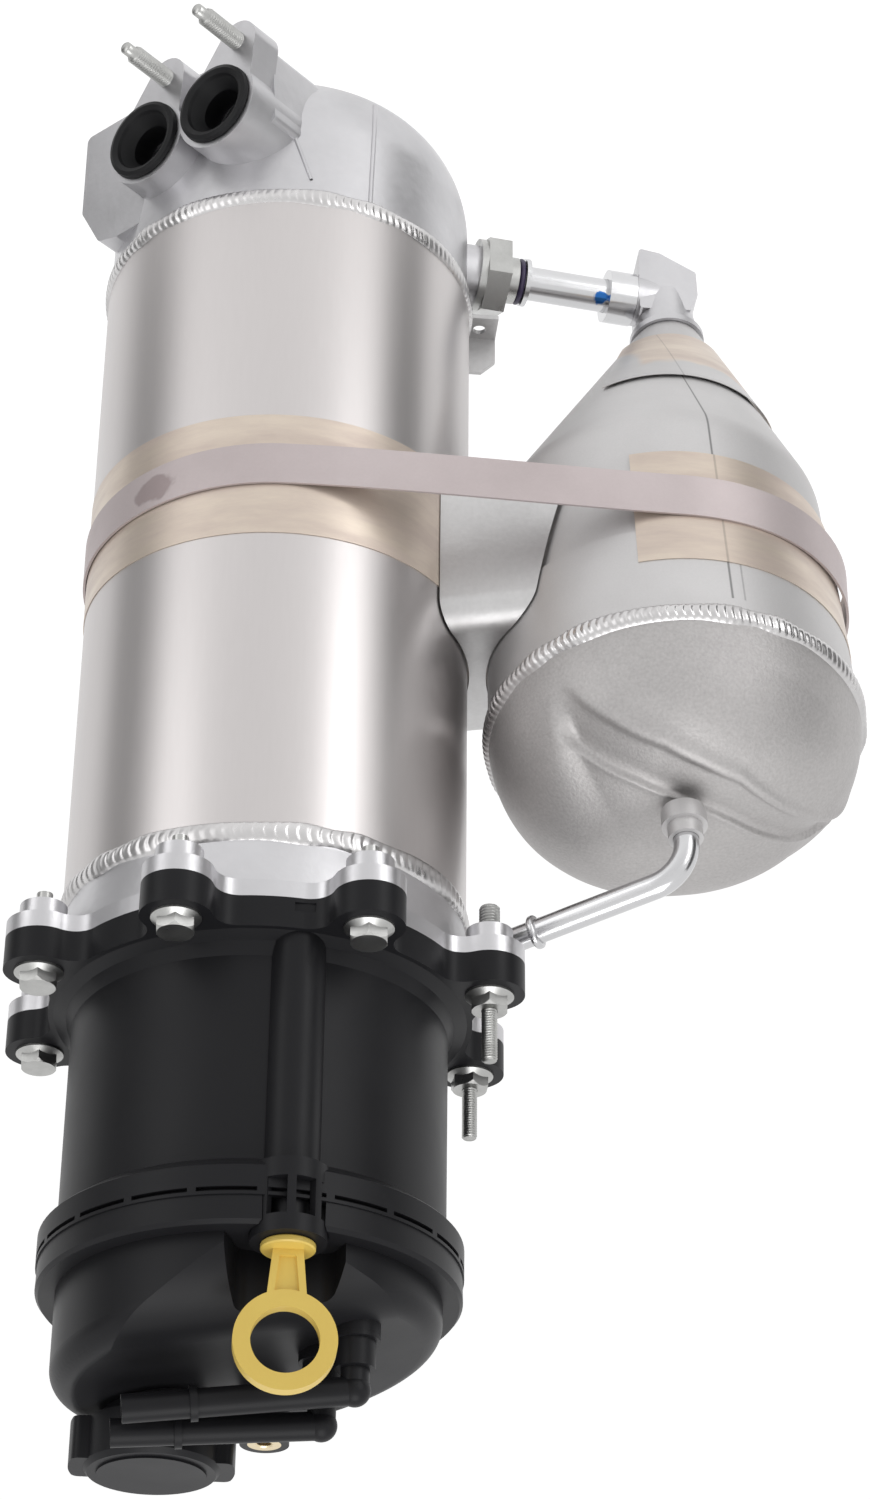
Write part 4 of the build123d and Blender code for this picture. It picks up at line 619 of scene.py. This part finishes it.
# Yellow plastic of the dipstick's handle
finish(
    "handle_yellow", tone=(0.80, 0.58, 0.13), dirt=(0.66, 0.44, 0.09), metallic=0.0, gloss=(0.34, 0.44),
    dirt_amount=0.35, cloud=30.0, grain=900.0, grain_amount=0.05, bump=0.05, bump_depth=0.0001,
)

# Black rubber of the seals, and purple rubber of the small ring at the union
finish(
    "black_rubber", tone=(0.005, 0.005, 0.006), dirt=(0.012, 0.012, 0.012), metallic=0.0, gloss=(0.40, 0.60),
    cloud=30.0, specular=0.22,
)
finish(
    "purple_rubber", tone=(0.05, 0.035, 0.09), dirt=(0.03, 0.02, 0.05), metallic=0.0, gloss=(0.30, 0.45),
)

# Brass of the insert
finish(
    "insert_brass", tone=(0.78, 0.66, 0.44), dirt=(0.55, 0.42, 0.22), metallic=1.0, gloss=(0.25, 0.35),
)

# Tan film under the strap and at the neck, through which the seam shows; at the neck it is partly clear
tape_tan = finish(
    "tape_tan", tone=(0.679, 0.585, 0.491), dirt=(0.491, 0.398, 0.363), metallic=0.55, gloss=(0.30, 0.42),
    dirt_amount=0.7, cloud=26.0, grain=500.0, grain_amount=0.1, stretch=(1, 1, 5), bump=0.08,
    bump_depth=0.0001,
)
CLEAR_FILM = (0.55, 0.54, 0.54)
for place, reach in (((130.0, 27.0, -289.0), (17, 26, 26)), ((172.0, 40.0, -270.0), (52, 24, 19))):
    patch(tape_tan, place, reach, CLEAR_FILM, kind="MIX", raggedness=0.35, edge_scale=90.0)
side_tank_seam(tape_tan, azimuth=80.5, half_width=0.55, low=-206, high=-9, tone=0.72)

# Aluminium pieces inside the tank
finish(
    "inner_aluminium", tone=(0.58, 0.58, 0.59), dirt=(0.42, 0.42, 0.42), metallic=1.0, gloss=(0.35, 0.50),
)

# Every CAD node gets the finish that the record names for it
for subpart in frame["record"]["subparts"]:
    node_mesh = frame["nodes"][subpart["node"]].data
    node_mesh.materials.clear()
    node_mesh.materials.append(FINISHES[subpart["material_slot"]])


def dress(piece, material):
    """Give a new piece its material."""
    piece.data.materials.append(material)


dress(bowl(), blasted_bowl)
for bead in (
    weld_bead("base_weld_bead", "base_weld", TUBE_R, TUBE_BOTTOM, half_width=4.0, height=1.5, ripples=150),
    weld_bead("flange_weld_bead", "flange_weld", TUBE_R, TUBE_TOP, half_width=4.4, height=1.5, ripples=120),
    weld_bead("expansion_weld_bead", "expansion_weld", BOWL_R, 0.0, half_width=4.2, height=2.4, ripples=150,
              place=SIDE_TANK),
):
    dress(bead, weld_metal)
dress(stud_bolt_heads(), zinc_steel)

# Threads of the stud bolts: a stud upwards and a screw downwards on each
STUD_FOOT_Z = 17.0
SCREW_TOP_Z = -13.5
for side, name in ((1, "front"), (-1, "rear")):
    at = (STUD_X, side * STUD_Y)
    dress(thread("stud_thread_" + name, (*at, STUD_FOOT_Z), UP, length=21.5, screw=M6), zinc_steel)
    dress(thread("bolt_thread_" + name, (*at, SCREW_TOP_Z), DOWN, length=10.8, screw=M8), zinc_steel)

# Threaded studs of the ports, on the ports' tilted face
PORT_FACE = Vector((-64.2, 60.0, -359.0))
PORT_AZIMUTH = math.radians(132)
PORT_TILT = math.radians(5)
PORT_SPACING = 37.7
PORT_STUD_OFFSET = (11.6, 26.5)
PORT_STUD_SUNK = 0.5
PORT_STUD_POINT = (2.6, 5.5)
port_out = Vector((
    math.cos(PORT_TILT) * math.cos(PORT_AZIMUTH),
    math.cos(PORT_TILT) * math.sin(PORT_AZIMUTH),
    math.sin(PORT_TILT),
))
port_side = Vector((math.sin(PORT_AZIMUTH), -math.cos(PORT_AZIMUTH), 0))
port_up = port_out.cross(port_side)
for number, name in enumerate(("left", "right")):
    across = PORT_STUD_OFFSET[0] + PORT_SPACING * number
    foot = PORT_FACE + port_side * across + port_up * PORT_STUD_OFFSET[1] - port_out * PORT_STUD_SUNK
    stud = thread("port_thread_" + name, foot, port_out, length=21.0, screw=M8, point=PORT_STUD_POINT)
    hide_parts("port_stud_" + name)
    dress(stud, zinc_steel)

right_line = flash_line("casting_flash_right", low=(30.0, -386.0), high=(28.5, -326.0), radius=1.0)
left_line = flash_line("casting_flash_left", low=(-10.0, -374.0), high=(4.0, -332.0), radius=0.8)
dress(right_line, cast_aluminium)
dress(left_line, cast_aluminium)


# Floor and lights, in metres in the row frame
FLOOR_Z = -0.80
FLOOR_SIZE = 24
FLOOR_TONE = 0.60
FLOOR_LIFT = 0.70
WORLD_LIGHT = 0.50
MIDDLE = Vector((-0.03, 0.0, -0.20))


def background_rays(tree):
    """Socket that is 1 for rays that show the background: from the camera, mirrored or let through."""
    ray = tree.nodes.new("ShaderNodeLightPath").outputs
    straight_or_mirrored = math_node(tree, "MAXIMUM", ray["Is Camera Ray"], ray["Is Glossy Ray"])
    return math_node(tree, "MAXIMUM", straight_or_mirrored, ray["Is Transmission Ray"])


def white_floor():
    """Pale floor that keeps the shadow and shows as white."""
    bpy.ops.mesh.primitive_plane_add(size=FLOOR_SIZE, location=(0, 0, FLOOR_Z))
    floor = bpy.context.object
    floor.name = "floor"
    m = bpy.data.materials.new("floor_white")
    m.use_nodes = True
    tree = m.node_tree
    set_inputs(tree, tree.nodes["Principled BSDF"], {
        "Base Color": (FLOOR_TONE, FLOOR_TONE, FLOOR_TONE, 1),
        "Roughness": 0.9,
        "Specular IOR Level": 0.0,
        "Emission Color": (1, 1, 1, 1),
        "Emission Strength": math_node(tree, "MULTIPLY", background_rays(tree), FLOOR_LIFT),
    })
    floor.data.materials.append(m)


def white_world():
    """Even light from all sides, and full white where it is seen."""
    world = bpy.data.worlds.new("world")
    bpy.context.scene.world = world
    world.use_nodes = True
    tree = world.node_tree
    set_inputs(tree, tree.nodes["Background"], {
        "Color": (1, 1, 1, 1),
        "Strength": math_node(tree, "MULTIPLY_ADD", background_rays(tree), 1 - WORLD_LIGHT, WORLD_LIGHT),
    })


def soft_light(name, place, size, power):
    """Rectangular lamp that faces the middle of the part."""
    lamp = bpy.data.lights.new(name, "AREA")
    lamp.shape = "RECTANGLE"
    lamp.size, lamp.size_y = size
    lamp.energy = power
    light = bpy.data.objects.new(name, lamp)
    bpy.context.scene.collection.objects.link(light)
    light.location = place
    light.rotation_euler = (MIDDLE - Vector(place)).to_track_quat("-Z", "Y").to_euler()


def grey_card(name, place, size, tone):
    """Grey board beside the part that only its metal sees, as a photographer's card."""
    bpy.ops.mesh.primitive_plane_add(size=1, location=place)
    board = bpy.context.object
    board.name = name
    board.scale = (*size, 1)
    board.rotation_euler = (MIDDLE - Vector(place)).to_track_quat("Z", "Y").to_euler()
    board.visible_camera = False
    board.visible_diffuse = False
    board.visible_shadow = False
    m = bpy.data.materials.new(name)
    m.use_nodes = True
    paint = m.node_tree.nodes["Principled BSDF"]
    set_inputs(m.node_tree, paint, {"Base Color": (tone, tone, tone, 1), "Roughness": 1.0})
    board.data.materials.append(m)


white_floor()
white_world()
soft_light("key_band", place=(0.58, 0.88, -0.42), size=(0.26, 0.9), power=2.2)
soft_light("wide_left", place=(-1.10, 0.70, -0.30), size=(0.5, 1.2), power=2.2)
soft_light("far_right", place=(1.20, 0.60, -0.20), size=(0.5, 1.2), power=3.5)
soft_light("overhead", place=(0.0, 0.5, 1.5), size=(1.0, 1.0), power=10)
grey_card("card_left", place=(-0.72, 0.02, -0.30), size=(0.36, 1.1), tone=0.38)
grey_card("card_right", place=(0.52, 0.22, -0.35), size=(0.30, 1.1), tone=0.10)

# Camera, turned so that the filler cap is at the bottom: place in the tank's own frame, turn in degrees
CAMERA_PLACE = (-38.22, 1102.03, 554.83)
CAMERA_TURN = (-58.9583, 0.5314, 5.62)
CAMERA_LENS = 79.22
CAMERA_SENSOR = 36
camera = bpy.data.objects.new("camera", bpy.data.cameras.new("camera"))
camera.data.sensor_width = CAMERA_SENSOR
camera.data.lens = CAMERA_LENS
camera.location = row(*CAMERA_PLACE)
camera.rotation_euler = Euler([math.radians(angle) for angle in CAMERA_TURN], "XYZ")
bpy.context.scene.collection.objects.link(camera)
bpy.context.scene.camera = camera
bpy.context.scene.view_settings.view_transform = "Standard"
